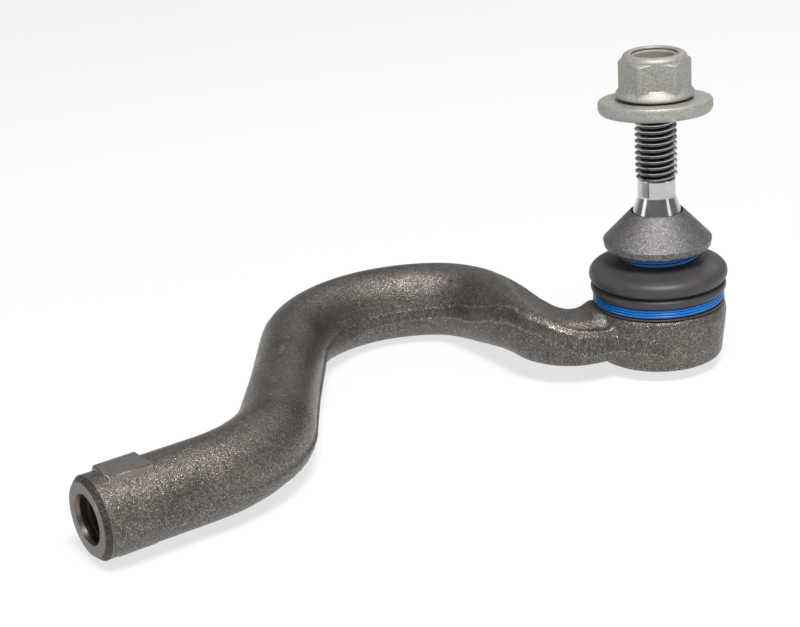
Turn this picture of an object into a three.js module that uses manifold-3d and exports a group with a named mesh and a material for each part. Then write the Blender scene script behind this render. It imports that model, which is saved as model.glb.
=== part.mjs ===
// Tie rod end: forged arm with a female-threaded shank and a ball joint with a long stud, boot and lock nut.
// Millimetres. +Z is the ball joint's own axis (stud up), +X runs along the shank towards the ball joint.
// The origin is the centre of the closure plate's outer face, under the ball.
import * as THREE from "three";
import { mergeVertices } from "three/addons/utils/BufferGeometryUtils.js";
import Module from "manifold-3d";

const wasm = await Module();
wasm.setup();

// ---- driving dimensions --------------------------------------------------------------------------------------
const PARTING_Z = 8.9; // forging's parting plane above the closure plate's outer face

// arm
const SHANK_END_X = -184.8;
const ARM_CORNERS = [
  [SHANK_END_X, 0],
  [-133, 0],
  [-68, 87.5],
  [-28.7, 56],
  [-32, 8],
  [0, 0],
]; // plan view: the straight runs meet here before they are rounded
const ARM_RADII = [38, 37.5, 21, 12];
const ARM_STATIONS = [
  { at: 0.0, halfWidth: 10.9, halfHeight: 10.9, square: 2.0 },
  { at: 0.2, halfWidth: 10.9, halfHeight: 10.9, square: 2.0 },
  { at: 0.36, halfWidth: 9.6, halfHeight: 10.9, square: 2.1 },
  { at: 0.6, halfWidth: 9.5, halfHeight: 11.1, square: 2.2 },
  { at: 0.72, halfWidth: 9.5, halfHeight: 11.0, square: 2.3 },
  { at: 0.84, halfWidth: 8.2, halfHeight: 6.5, square: 2.8 },
  { at: 0.92, halfWidth: 8.1, halfHeight: 6.5, square: 3.2 },
  { at: 1.0, halfWidth: 9.0, halfHeight: 6.5, square: 3.2 },
];
const ARM_RINGS = 66;
const ARM_SIDES = 20;
const SHANK_FACE_R = 10.2;
const SHANK_CHAMFER = 1.0;
const SOCKET_R = 6.2; // minor radius of the M14x1.5 socket
const SOCKET_DEPTH = 42;
const SOCKET_MOUTH_R = 7.3;
const PAD_START = 5.8; // spanner pads, from the shank's end
const PAD_LENGTH = 10.8;
const PAD_WIDTH = 8;
const PAD_TOP = 11.2; // above and below the parting plane
const PAD_BEVEL = 0.4;

// eye
const EYE_R = 19.5;
const EYE_FOOT_R = 18.3;
const EYE_BOTTOM = -8.6; // heights from here on are from the parting plane
const EYE_TOP = 7.3;
const COLLAR_R = 17;
const COLLAR_TOP = 10.8;
const MOUTH_R = 9.3;
const SEAT_BORE_R = 12.6;
const LIP_BOTTOM = -8.88; // the rolled lip ends just inside the closure plate's face
const LIP_THICK = 0.83;
const LIP_R = 12.6;
const LIP_OUTER_R = 15.0;

// ball joint
const BALL_R = 10.2;
const BALL_Z = 4.6;
const BALL_FLAT = 9.9; // the ball is cut flat this far under its centre
const SEAT_GAP = 0.06;
const SPLIT_Z = -2.65; // upper seat above, pressure pad below
const PAD_BOTTOM = -6.7;
const PLATE_R = 13.6; // flange, held behind the lip
const PLATE_BOSS_R = 12.4; // raised centre, flush with the lip
const PLATE_THICK = 1.4;
const PLATE_FLANGE = 0.5;
const SPRING_THICK = 0.35;
const SPRING_RISE = 0.4;

// stud, heights of its steps
const STUD_NECK_R = 5.9;
const STUD_BODY_R = 7.0;
const STUD_BODY_Z = 18.4;
const FLARE_Z = 34.2;
const SHAFT_R = 5.38;
const SHAFT_Z = 39.1;
const THREAD_R = 5.94;
const THREAD_Z = 44.2;
const STUD_TOP = 76.2;

// cone ring
const CONE_HUB_R = 10.2;
const CONE_HUB_Z = 19.3;
const CONE_UNDER_Z = 23.4;
const CONE_R = 15.5;
const CONE_TOP = 34.5;

// boot and its rings
const BOOT_FOOT_Z = 7.4;
const BOOT_NECK_Z = 23.2;
const RING_WIRE_R = 0.5;
const LOWER_RING_TURNS = 1.9;
const UPPER_RING_TURNS = 1.3;
const RING_PITCH = 1.07;
const UPPER_RING_R = 11.55;
const UPPER_RING_Z = 21.35;
const LOWER_RING_R = 18.55;
const LOWER_RING_Z = 8.5;

// nut and washer
const WASHER_BOTTOM = 63.1;
const WASHER_TOP = 67.1;
const WASHER_R = 16.05;
const WASHER_HOLE_R = 7.9;
const WASHER_RECESS_R = 9.1; // wider from below, round the nut's spread neck
const WASHER_LEDGE = 65.5;
const NUT_NECK_BOTTOM = 64.0;
const NUT_NECK_R = 7.6;
const NUT_SPREAD_R = 8.5; // the neck's foot is spread, so the washer can't drop off
const NUT_SPREAD_TOP = 64.9;
const NUT_BOTTOM = 68.3;
const NUT_FLANGE_R = 11.1;
const NUT_HEX_FLAT = 9.0; // centre to flat
const NUT_HEX_TURN = 22.3; // degrees that a corner is turned from +X
const NUT_HEX_BOTTOM = 70.6;
const NUT_HEX_TOP = 79.0;
const NUT_CROWN_R = 8.9;
const NUT_TOP = 80.4;
const NUT_BORE_R = 6.0;
const NUT_LIP_R = 6.4;
const INSERT_POCKET_R = 7.6;
const INSERT_Z = 77.0;
const INSERT_TOP = 79.5;

const ROUND_SIDES = 48;
const TAU = Math.PI * 2;

// ---- materials -----------------------------------------------------------------------------------------------
function finish(color, roughness, metalness) {
  return new THREE.MeshStandardMaterial({ color, roughness, metalness });
}
const forgedSteel = finish(0x5a534d, 0.62, 0.85);
const platedSteel = finish(0xa5a29b, 0.5, 0.85);
const brightSteel = finish(0xd8d9db, 0.12, 1.0);
const forgedCollar = finish(0x77746f, 0.5, 0.85);
const springSteel = finish(0x6f7378, 0.35, 1.0);
const ringBlue = finish(0x0d5fc4, 0.35, 0.1);
const rubber = finish(0x2a282b, 0.55, 0.0);
const seatPlastic = finish(0xe9e6dc, 0.4, 0.0);
const padPlastic = finish(0x3c3f43, 0.45, 0.0);
const insertPlastic = finish(0xb9b4a6, 0.6, 0.0);

// ---- helpers -------------------------------------------------------------------------------------------------
// A closed three.js geometry as a solid that can be joined or cut.
function solid(geometry) {
  const bare = geometry.clone();
  bare.deleteAttribute("normal");
  bare.deleteAttribute("uv");
  const merged = mergeVertices(bare, 1e-4);
  return new wasm.Manifold(
    new wasm.Mesh({
      numProp: 3,
      vertProperties: new Float32Array(merged.attributes.position.array),
      triVerts: new Uint32Array(merged.index.array),
    }),
  );
}

// A solid as a three.js geometry again.
function geometryOf(body) {
  const mesh = body.getMesh();
  const points = new Float32Array(mesh.numVert * 3);
  for (let i = 0; i < mesh.numVert; i++) {
    const from = i * mesh.numProp;
    points.set(mesh.vertProperties.subarray(from, from + 3), i * 3);
  }
  const geometry = new THREE.BufferGeometry();
  geometry.setAttribute("position", new THREE.BufferAttribute(points, 3));
  geometry.setIndex(new THREE.BufferAttribute(new Uint32Array(mesh.triVerts), 1));
  geometry.computeVertexNormals();
  return geometry;
}

// A round piece about Z. The profile is [radius, height] pairs, anticlockwise as seen with radius to the right.
function turned(profile, sides = ROUND_SIDES) {
  const points = profile.map(([r, z]) => new THREE.Vector2(Math.max(r, 0), z));
  if (points[0].x > 0) points.push(points[0].clone());
  const geometry = new THREE.LatheGeometry(points, sides);
  geometry.rotateX(Math.PI / 2);
  return geometry;
}

// Points on an arc of a profile, from one angle to another, in degrees.
function arc(centreR, centreZ, radius, from, to, steps) {
  const points = [];
  for (let i = 0; i <= steps; i++) {
    const angle = ((from + ((to - from) * i) / steps) * Math.PI) / 180;
    points.push([centreR + radius * Math.cos(angle), centreZ + radius * Math.sin(angle)]);
  }
  return points;
}

// A plan path of straight runs whose corners are rounded with the given radii.
function roundedPath(corners, radii) {
  const path = new THREE.Path();
  path.moveTo(corners[0][0], corners[0][1]);
  for (let i = 1; i < corners.length - 1; i++) {
    const corner = new THREE.Vector2(...corners[i]);
    const back = new THREE.Vector2(...corners[i - 1]).sub(corner).normalize();
    const ahead = new THREE.Vector2(...corners[i + 1]).sub(corner).normalize();
    const half = Math.acos(back.dot(ahead)) / 2;
    const start = back.clone().multiplyScalar(radii[i - 1] / Math.tan(half)).add(corner);
    const end = ahead.clone().multiplyScalar(radii[i - 1] / Math.tan(half)).add(corner);
    const middle = back.clone().add(ahead).normalize();
    const centre = middle.multiplyScalar(radii[i - 1] / Math.sin(half)).add(corner);
    const from = Math.atan2(start.y - centre.y, start.x - centre.x);
    const to = Math.atan2(end.y - centre.y, end.x - centre.x);
    const turnsRight = back.x * ahead.y - back.y * ahead.x > 0;
    path.lineTo(start.x, start.y);
    path.absarc(centre.x, centre.y, radii[i - 1], from, to, turnsRight);
  }
  path.lineTo(corners.at(-1)[0], corners.at(-1)[1]);
  return path;
}

// The arm's section a given share of the way along it, eased between the stations.
function armSection(share) {
  const next = Math.max(1, ARM_STATIONS.findIndex((s) => s.at >= share - 1e-9));
  const a = ARM_STATIONS[next - 1];
  const b = ARM_STATIONS[next];
  const t = (share - a.at) / (b.at - a.at);
  const eased = t * t * (3 - 2 * t);
  const mix = (key) => a[key] + (b[key] - a[key]) * eased;
  return { halfWidth: mix("halfWidth"), halfHeight: mix("halfHeight"), square: mix("square") };
}

// A bar swept along a plan path, with its own section at every step and flat ends.
function sweptBar(path, rings, sides, sectionAt) {
  const positions = [];
  for (let i = 0; i <= rings; i++) {
    const share = i / rings;
    const point = path.getPointAt(share);
    const along = path.getTangentAt(share);
    const section = sectionAt(share);
    for (let k = 0; k < sides; k++) {
      const angle = (k / sides) * TAU;
      const c = Math.cos(angle);
      const s = Math.sin(angle);
      const across = Math.sign(c) * Math.abs(c) ** (2 / section.square) * section.halfWidth;
      const up = Math.sign(s) * Math.abs(s) ** (2 / section.square) * section.halfHeight;
      positions.push(point.x + along.y * across, point.y - along.x * across, up);
    }
  }
  const first = positions.length / 3;
  const startPoint = path.getPointAt(0);
  const endPoint = path.getPointAt(1);
  positions.push(startPoint.x, startPoint.y, 0, endPoint.x, endPoint.y, 0);
  const faces = [];
  for (let i = 0; i < rings; i++) {
    for (let k = 0; k < sides; k++) {
      const a = i * sides + k;
      const b = i * sides + ((k + 1) % sides);
      faces.push(a, b + sides, b, a, a + sides, b + sides);
    }
  }
  for (let k = 0; k < sides; k++) {
    const next = (k + 1) % sides;
    const last = rings * sides;
    faces.push(first, k, next);
    faces.push(first + 1, last + next, last + k);
  }
  const geometry = new THREE.BufferGeometry();
  geometry.setAttribute("position", new THREE.Float32BufferAttribute(positions, 3));
  geometry.setIndex(faces);
  return geometry;
}

// A round bar along X, as [distance, radius] pairs from its closed tip.
function turnedAlongX(profile, startX, sides = ROUND_SIDES) {
  const geometry = turned(profile.map(([distance, r]) => [r, distance]), sides);
  geometry.rotateY(Math.PI / 2);
  geometry.translate(startX, 0, 0);
  return geometry;
}

// A coil of round wire about Z.
class Coil extends THREE.Curve {
  constructor(radius, height, turns, pitch) {
    super();
    Object.assign(this, { radius, height, turns, pitch });
  }
  getPoint(t) {
    const angle = t * this.turns * TAU - 1.9;
    const z = this.height + t * this.turns * this.pitch;
    return new THREE.Vector3(this.radius * Math.cos(angle), this.radius * Math.sin(angle), z);
  }
}

function coil(radius, height, turns) {
  const wire = new THREE.Shape();
  wire.absarc(0, 0, RING_WIRE_R, 0, TAU, false);
  return new THREE.ExtrudeGeometry(wire, {
    steps: Math.round(turns * 32),
    curveSegments: 3,
    bevelEnabled: false,
    extrudePath: new Coil(radius, height, turns, RING_PITCH),
  });
}

// ---- housing -------------------------------------------------------------------------------------------------
function eyeOutside() {
  return turned([
    [0, LIP_BOTTOM],
    [LIP_OUTER_R - 0.6, LIP_BOTTOM],
    [LIP_OUTER_R, EYE_BOTTOM],
    [EYE_FOOT_R - 1.4, EYE_BOTTOM],
    ...arc(EYE_FOOT_R - 1.4, EYE_BOTTOM + 1.4, 1.4, -60, 0, 2),
    [EYE_R, 4.4],
    [EYE_R - 0.45, 6.5],
    [EYE_R - 1.1, EYE_TOP],
    [COLLAR_R, EYE_TOP],
    [COLLAR_R, COLLAR_TOP - 0.4],
    [COLLAR_R - 0.4, COLLAR_TOP],
    [0, COLLAR_TOP],
  ]);
}

function eyeCavity() {
  return turned([
    [0, LIP_BOTTOM - 1],
    [LIP_R, LIP_BOTTOM - 1],
    [LIP_R, LIP_BOTTOM + LIP_THICK],
    [PLATE_R + 0.1, LIP_BOTTOM + LIP_THICK],
    [PLATE_R + 0.1, LIP_BOTTOM + LIP_THICK + PLATE_FLANGE + 0.1],
    [SEAT_BORE_R, LIP_BOTTOM + LIP_THICK + PLATE_FLANGE + 0.1],
    [SEAT_BORE_R, 6.3],
    [MOUTH_R + 0.45, 9.45],
    [MOUTH_R, 9.45],
    [MOUTH_R, 9.9],
    [MOUTH_R + 1.2, COLLAR_TOP + 0.3],
    [0, COLLAR_TOP + 0.3],
  ]);
}

function shankSocket() {
  return turnedAlongX(
    [
      [-1, 0],
      [-1, SOCKET_MOUTH_R],
      [0, SOCKET_MOUTH_R],
      [2, SOCKET_R],
      [SOCKET_DEPTH, SOCKET_R],
      [SOCKET_DEPTH + 3, 0],
    ],
    SHANK_END_X,
    32,
  );
}

// Everything outside a round bar with a chamfered end, so that it can trim the shank.
function shankTrim() {
  return turnedAlongX(
    [
      [-2, SHANK_FACE_R - SHANK_CHAMFER],
      [-2, 20],
      [6, 20],
      [SHANK_CHAMFER + 0.6, 12.4],
      [0, SHANK_FACE_R],
    ],
    SHANK_END_X,
    ROUND_SIDES,
  );
}

// A raised block with bevelled edges through the shank: its top and bottom are the spanner pads.
function spannerPads() {
  const outline = new THREE.Shape();
  const halfLength = PAD_LENGTH / 2;
  const halfWidth = PAD_WIDTH / 2;
  outline.moveTo(-halfLength, -halfWidth);
  outline.lineTo(halfLength, -halfWidth);
  outline.lineTo(halfLength, halfWidth);
  outline.lineTo(-halfLength, halfWidth);
  outline.closePath();
  const block = new THREE.ExtrudeGeometry(outline, {
    depth: 2 * (PAD_TOP - PAD_BEVEL),
    bevelSize: PAD_BEVEL,
    bevelThickness: PAD_BEVEL,
    bevelOffset: -PAD_BEVEL,
    bevelSegments: 1,
  });
  block.translate(SHANK_END_X + PAD_START + halfLength, 0, -(PAD_TOP - PAD_BEVEL));
  return block;
}

function housing() {
  const arm = sweptBar(roundedPath(ARM_CORNERS, ARM_RADII), ARM_RINGS, ARM_SIDES, armSection);
  return geometryOf(
    solid(arm)
      .add(solid(spannerPads()))
      .subtract(solid(shankTrim()))
      .subtract(solid(shankSocket()))
      .add(solid(eyeOutside()))
      .subtract(solid(eyeCavity())),
  );
}

// ---- ball joint ----------------------------------------------------------------------------------------------
function closurePlate() {
  const bottom = -PARTING_Z;
  const inner = bottom + PLATE_THICK;
  return turned([
    [0, bottom],
    [PLATE_BOSS_R, bottom],
    [PLATE_BOSS_R, inner - PLATE_FLANGE],
    [PLATE_R, inner - PLATE_FLANGE],
    [PLATE_R, inner],
    [0, inner],
  ]);
}

function preloadSpring() {
  const rest = -PARTING_Z + PLATE_THICK + 0.05;
  return turned([
    [4.5, rest + SPRING_RISE],
    [11, rest],
    [11, rest + SPRING_THICK],
    [4.5, rest + SPRING_RISE + SPRING_THICK],
  ]);
}

// Height on a sphere about the ball's centre, at a given radius from Z, above or below the centre.
function angleAtHeight(sphereR, z) {
  return (Math.asin((z - BALL_Z) / sphereR) * 180) / Math.PI;
}

function pressurePad() {
  const cup = BALL_R + SEAT_GAP;
  const low = (-Math.acos(2.5 / cup) * 180) / Math.PI;
  return turned([
    [2.5, PAD_BOTTOM + 0.1],
    [SEAT_BORE_R - 0.05, PAD_BOTTOM + 0.1],
    [SEAT_BORE_R - 0.05, SPLIT_Z],
    ...arc(0, BALL_Z, cup, angleAtHeight(cup, SPLIT_Z), low, 6),
  ]);
}

function ballSeat() {
  const cup = BALL_R + SEAT_GAP;
  const from = angleAtHeight(cup, 9.4);
  const to = angleAtHeight(cup, SPLIT_Z + 0.05);
  return turned([
    [SEAT_BORE_R - 0.05, SPLIT_Z + 0.05],
    [SEAT_BORE_R - 0.05, 6.25],
    [MOUTH_R + 0.4, 9.4],
    ...arc(0, BALL_Z, cup, from, to, 9),
  ]);
}

function ballStud() {
  const low = (-Math.asin(BALL_FLAT / BALL_R) * 180) / Math.PI;
  const high = (Math.acos(STUD_NECK_R / BALL_R) * 180) / Math.PI;
  return turned([
    [0, BALL_Z - BALL_FLAT],
    ...arc(0, BALL_Z, BALL_R, low, high, 14),
    [STUD_NECK_R, STUD_BODY_Z - 2.4],
    [STUD_BODY_R, STUD_BODY_Z],
    [STUD_BODY_R, FLARE_Z],
    [SHAFT_R, SHAFT_Z],
    [SHAFT_R, THREAD_Z - 0.3],
    [THREAD_R, THREAD_Z + 0.3],
    [THREAD_R, STUD_TOP - 1],
    [THREAD_R - 1, STUD_TOP],
    [0, STUD_TOP],
  ]);
}

function coneRing() {
  const bore = STUD_BODY_R + 0.02;
  return turned([
    [bore, CONE_HUB_Z],
    [CONE_HUB_R - 0.5, CONE_HUB_Z],
    [CONE_HUB_R, CONE_HUB_Z + 0.5],
    [CONE_HUB_R, CONE_UNDER_Z],
    [CONE_R - 1.2, CONE_UNDER_Z],
    [CONE_R - 0.2, CONE_UNDER_Z + 1.0],
    [CONE_R, CONE_UNDER_Z + 1.4],
    [CONE_R, CONE_UNDER_Z + 3.1],
    [CONE_R - 0.4, CONE_UNDER_Z + 3.7],
    [7.9, CONE_TOP - 0.2],
    [7.6, CONE_TOP],
    [bore + 0.4, CONE_TOP - 0.2],
    [bore, CONE_TOP - 1.0],
  ]);
}

function dustBoot() {
  return turned([
    [COLLAR_R + 0.05, BOOT_FOOT_Z],
    [18.9, BOOT_FOOT_Z],
    [18.9, BOOT_FOOT_Z + 0.55],
    [LOWER_RING_R - RING_WIRE_R - 0.03, BOOT_FOOT_Z + 0.6],
    [LOWER_RING_R - RING_WIRE_R - 0.03, 11.05],
    [18.9, 11.15],
    [19.25, 11.8],
    [18.9, 12.6],
    [17.5, 13.2],
    [19.0, 13.8],
    [19.7, 14.7],
    [19.85, 16.0],
    [19.6, 17.2],
    [18.6, 18.3],
    [12.5, 20.2],
    [UPPER_RING_R - RING_WIRE_R - 0.03, 20.75],
    [UPPER_RING_R - RING_WIRE_R - 0.03, BOOT_NECK_Z],
    [CONE_HUB_R + 0.05, BOOT_NECK_Z],
    [CONE_HUB_R + 0.05, 19.5],
    [17.7, 17.1],
    [18.4, 15.9],
    [18.0, 14.8],
    [16.0, 13.2],
    [17.5, 12.2],
    [17.5, 11.3],
    [COLLAR_R + 0.05, 10.9],
  ]);
}

// ---- nut and washer ------------------------------------------------------------------------------------------
function captiveWasher() {
  return turned([
    [WASHER_HOLE_R, WASHER_LEDGE],
    [WASHER_RECESS_R, WASHER_LEDGE],
    [WASHER_RECESS_R, WASHER_BOTTOM],
    [WASHER_R - 1.4, WASHER_BOTTOM],
    ...arc(WASHER_R - 1.4, WASHER_BOTTOM + 1.4, 1.4, -60, 0, 2),
    [WASHER_R, WASHER_TOP - 0.5],
    [WASHER_R - 0.5, WASHER_TOP],
    [WASHER_HOLE_R, WASHER_TOP],
  ]);
}

function nutHexagon() {
  const outline = new THREE.Shape();
  const corner = NUT_HEX_FLAT / Math.cos(Math.PI / 6);
  for (let i = 0; i < 6; i++) {
    const angle = (NUT_HEX_TURN * Math.PI) / 180 + (i * TAU) / 6;
    const method = i ? "lineTo" : "moveTo";
    outline[method](corner * Math.cos(angle), corner * Math.sin(angle));
  }
  outline.closePath();
  const prism = new THREE.ExtrudeGeometry(outline, {
    depth: NUT_HEX_TOP - NUT_HEX_BOTTOM + 1.5,
    bevelEnabled: false,
  });
  prism.translate(0, 0, NUT_HEX_BOTTOM - 1.5);
  return prism;
}

function nutEnvelope() {
  return turned([
    [0, NUT_BOTTOM],
    [11, NUT_BOTTOM],
    [11, NUT_HEX_TOP - 1.6],
    [NUT_HEX_FLAT, NUT_HEX_TOP],
    [0, NUT_HEX_TOP],
  ]);
}

function nutFlange() {
  return turned([
    [0, NUT_BOTTOM],
    [NUT_FLANGE_R - 0.3, NUT_BOTTOM],
    [NUT_FLANGE_R, NUT_BOTTOM + 0.3],
    [NUT_FLANGE_R, NUT_BOTTOM + 1.3],
    [NUT_HEX_FLAT, NUT_HEX_BOTTOM + 0.6],
    [0, NUT_HEX_BOTTOM + 0.6],
  ]);
}

function nutCrown() {
  return turned([
    [0, NUT_HEX_TOP - 1],
    [NUT_CROWN_R, NUT_HEX_TOP - 1],
    [NUT_CROWN_R, NUT_TOP - 1],
    ...arc(NUT_CROWN_R - 1, NUT_TOP - 1, 1, 20, 90, 3),
    [0, NUT_TOP],
  ]);
}

function nutNeck() {
  return turned([
    [0, NUT_NECK_BOTTOM],
    [NUT_SPREAD_R, NUT_NECK_BOTTOM],
    [NUT_SPREAD_R, NUT_SPREAD_TOP - 0.4],
    [NUT_NECK_R, NUT_SPREAD_TOP],
    [NUT_NECK_R, NUT_BOTTOM + 0.5],
    [0, NUT_BOTTOM + 0.5],
  ]);
}

function nutBore() {
  return turned([
    [0, NUT_NECK_BOTTOM - 1],
    [NUT_BORE_R + 0.8, NUT_NECK_BOTTOM - 1],
    [NUT_BORE_R + 0.8, NUT_NECK_BOTTOM],
    [NUT_BORE_R, NUT_NECK_BOTTOM + 0.8],
    [NUT_BORE_R, INSERT_Z],
    [INSERT_POCKET_R, INSERT_Z],
    [INSERT_POCKET_R, INSERT_TOP - 0.1],
    [NUT_LIP_R, NUT_TOP - 0.6],
    [NUT_LIP_R, NUT_TOP + 1],
    [0, NUT_TOP + 1],
  ]);
}

function nutBody() {
  return geometryOf(
    solid(nutHexagon())
      .intersect(solid(nutEnvelope()))
      .add(solid(nutFlange()))
      .add(solid(nutCrown()))
      .add(solid(nutNeck()))
      .subtract(solid(nutBore())),
  );
}

function nutLockingInsert() {
  return turned([
    [NUT_BORE_R + 0.01, INSERT_Z + 0.05],
    [INSERT_POCKET_R - 0.05, INSERT_Z + 0.05],
    [INSERT_POCKET_R - 0.05, INSERT_TOP - 0.2],
    [NUT_BORE_R + 0.3, INSERT_TOP - 0.2],
    [NUT_BORE_R + 0.01, INSERT_TOP - 0.5],
  ]);
}

// ---- assembly ------------------------------------------------------------------------------------------------
const PIECES = [
  ["housing", housing, forgedSteel],
  ["closure_plate", closurePlate, springSteel],
  ["preload_spring", preloadSpring, springSteel],
  ["pressure_pad", pressurePad, padPlastic],
  ["ball_seat", ballSeat, seatPlastic],
  ["ball_stud", ballStud, brightSteel],
  ["cone_ring", coneRing, forgedCollar],
  ["dust_boot", dustBoot, rubber],
  ["upper_retaining_ring", () => coil(UPPER_RING_R, UPPER_RING_Z, UPPER_RING_TURNS), ringBlue],
  ["lower_retaining_ring", () => coil(LOWER_RING_R, LOWER_RING_Z, LOWER_RING_TURNS), ringBlue],
  ["captive_washer", captiveWasher, platedSteel],
  ["nut_body", nutBody, platedSteel],
  ["nut_locking_insert", nutLockingInsert, insertPlastic],
];

const tieRodEnd = new THREE.Group();
tieRodEnd.name = "tie_rod_end";
for (const [name, build, material] of PIECES) {
  const geometry = build();
  geometry.translate(0, 0, PARTING_Z);
  const mesh = new THREE.Mesh(geometry, material.clone());
  mesh.name = name;
  tieRodEnd.add(mesh);
}

export default tieRodEnd;
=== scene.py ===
import math

import bmesh
import bpy
import numpy as np
from bpy.props import FloatProperty, FloatVectorProperty, PointerProperty
from mathutils import Matrix, Vector


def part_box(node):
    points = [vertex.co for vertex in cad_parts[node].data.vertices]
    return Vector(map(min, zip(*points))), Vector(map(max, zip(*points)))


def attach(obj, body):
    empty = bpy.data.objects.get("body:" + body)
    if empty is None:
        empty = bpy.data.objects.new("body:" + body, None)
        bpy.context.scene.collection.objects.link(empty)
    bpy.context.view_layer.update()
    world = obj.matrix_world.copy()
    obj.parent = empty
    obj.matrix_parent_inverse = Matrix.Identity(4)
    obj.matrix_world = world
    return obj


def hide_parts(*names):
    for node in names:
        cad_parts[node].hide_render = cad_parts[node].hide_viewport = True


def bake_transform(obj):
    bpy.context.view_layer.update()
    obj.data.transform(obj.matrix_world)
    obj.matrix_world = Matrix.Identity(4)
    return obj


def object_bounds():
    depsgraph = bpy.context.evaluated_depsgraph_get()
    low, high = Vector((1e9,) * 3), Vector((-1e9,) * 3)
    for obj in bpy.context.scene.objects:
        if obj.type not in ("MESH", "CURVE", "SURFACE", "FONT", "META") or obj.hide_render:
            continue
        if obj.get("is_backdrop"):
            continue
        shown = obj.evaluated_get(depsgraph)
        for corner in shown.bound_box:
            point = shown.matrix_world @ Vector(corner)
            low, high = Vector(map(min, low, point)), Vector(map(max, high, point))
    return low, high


bl_info = {
    "name": "Tie Rod End",
    "version": (1, 0, 0),
    "blender": (4, 5, 0),
    "location": "3D View > Sidebar > Tie Rod",
    "description": "Detailed tie rod end built round its packed CAD frame",
    "category": "Object",
}

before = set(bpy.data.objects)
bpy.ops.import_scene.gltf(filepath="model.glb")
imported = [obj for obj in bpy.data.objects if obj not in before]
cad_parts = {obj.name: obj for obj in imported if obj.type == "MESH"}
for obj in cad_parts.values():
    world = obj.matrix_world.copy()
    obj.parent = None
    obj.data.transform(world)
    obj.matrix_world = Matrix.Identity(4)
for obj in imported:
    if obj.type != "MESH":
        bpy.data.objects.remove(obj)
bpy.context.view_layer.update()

# Lengths in this file are millimetres from the forging's parting plane, unless a name ends in _M.
MM = 0.001
HOUSING_LOW, HOUSING_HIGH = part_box("housing")
PARTING_Z_M = (HOUSING_LOW.z + HOUSING_HIGH.z) / 2
SHANK_END_X = HOUSING_LOW.x / MM
TAU = 2 * math.pi


# ---- sizes and colours a user may change ---------------------------------------------------------
def length(name, description, default):
    """A length property in metres, given in millimetres."""
    return FloatProperty(name=name, description=description, default=default * MM, unit="LENGTH", precision=5)


def colour(name, description, default):
    """A colour property."""
    return FloatVectorProperty(
        name=name, description=description, default=default, subtype="COLOR", size=3, min=0.0, max=1.0
    )


class TieRodSizes(bpy.types.PropertyGroup):
    """Sizes of the details that are added to the CAD frame."""

    near_fillet: length("Near fillet", "Blend between the neck's top and the eye on the dropped side", 2.6)
    far_fillet: length("Far fillet", "Blend between the neck and the eye on the other side", 5.5)
    flash_land: length("Flash land", "Height of the land left by the trimmed flash", 0.7)
    neck_hollow: length("Neck hollow", "Depth of the hollow behind the neck's crest", 1.3)
    mesh_step: length("Forging mesh step", "Size of the forging's mesh cells", 0.5)
    stud_pitch: length("Stud thread pitch", "Pitch of the stud's thread", 1.75)
    stud_thread_depth: length("Stud thread depth", "Crest to root of the stud's thread", 1.3)
    socket_pitch: length("Socket thread pitch", "Pitch of the shank's inner thread", 1.5)
    socket_thread_depth: length("Socket thread depth", "Crest to root of the shank's inner thread", 0.8)
    ring_wire: length("Ring wire", "Thickness of the boot rings' wire", 0.8)
    hex_corner: length("Hex corner", "Softness of the nut's corners", 0.22)
    washer_tip: FloatProperty(
        name="Washer tip",
        description="How far the loose washer hangs over",
        default=math.radians(4.1),
        subtype="ANGLE",
    )


class TieRodColours(bpy.types.PropertyGroup):
    """Base colours of the finishes."""

    forging_dark: colour("Forging, dark", "Blasted forging in its pits", (0.072, 0.062, 0.055))
    forging_light: colour("Forging, light", "Blasted forging on its grains", (0.222, 0.200, 0.181))
    collar_dark: colour("Cone ring, dark", "Blasted cone ring in its pits", (0.120, 0.116, 0.114))
    collar_light: colour("Cone ring, light", "Blasted cone ring on its grains", (0.245, 0.240, 0.236))
    plating_dark: colour("Plating, dark", "Zinc flake coat in its pits", (0.205, 0.200, 0.183))
    plating_light: colour("Plating, light", "Zinc flake coat", (0.460, 0.450, 0.415))
    bright_steel: colour("Bright steel", "Ground stud", (0.56, 0.56, 0.57))
    rubber: colour("Rubber", "Boot", (0.038, 0.034, 0.037))
    ring_blue: colour("Ring blue", "Coated boot rings", (0.001, 0.19, 0.64))
    insert: colour("Locking insert", "Nut's plastic ring", (0.36, 0.335, 0.285))
    seat: colour("Ball seat", "Seat plastic", (0.76, 0.74, 0.68))
    floor: colour("Floor", "Stage floor", (0.22, 0.22, 0.22))


def toned(tint, by):
    """A tint made darker or lighter by a factor, no channel over 1."""
    return [min(1.0, by * c) for c in tint]


# ---- mesh helpers --------------------------------------------------------------------------------
def new_piece(name, points, faces, material, sharp_deg=38.0, merge=2e-6):
    """A smooth-shaded object from millimetre points in the forging's frame, facing out."""
    mesh = bpy.data.meshes.new(name)
    metres = np.asarray(points, float) * MM + np.array([0.0, 0.0, PARTING_Z_M])
    mesh.from_pydata(metres.tolist(), [], [tuple(int(i) for i in face) for face in faces])
    if merge:
        build = bmesh.new()
        build.from_mesh(mesh)
        bmesh.ops.remove_doubles(build, verts=build.verts, dist=merge)
        bmesh.ops.dissolve_degenerate(build, edges=build.edges, dist=merge)
        bmesh.ops.recalc_face_normals(build, faces=build.faces)
        build.to_mesh(mesh)
        build.free()
    mesh.validate()
    mesh.shade_smooth()
    if sharp_deg:
        mesh.set_sharp_from_angle(angle=math.radians(sharp_deg))
    for one in material if isinstance(material, (list, tuple)) else [material]:
        mesh.materials.append(one)
    made = bpy.data.objects.new(name, mesh)
    bpy.context.scene.collection.objects.link(made)
    return made


def ring_faces(rows, around, close_rows=True):
    """Quads between rows of points that each go once round."""
    faces = []
    for i in range(rows if close_rows else rows - 1):
        a, b = i * around, ((i + 1) % rows) * around
        k = np.arange(around)
        n = (k + 1) % around
        faces.append(np.stack([a + k, a + n, b + n, b + k], axis=1))
    return np.concatenate(faces)


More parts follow.
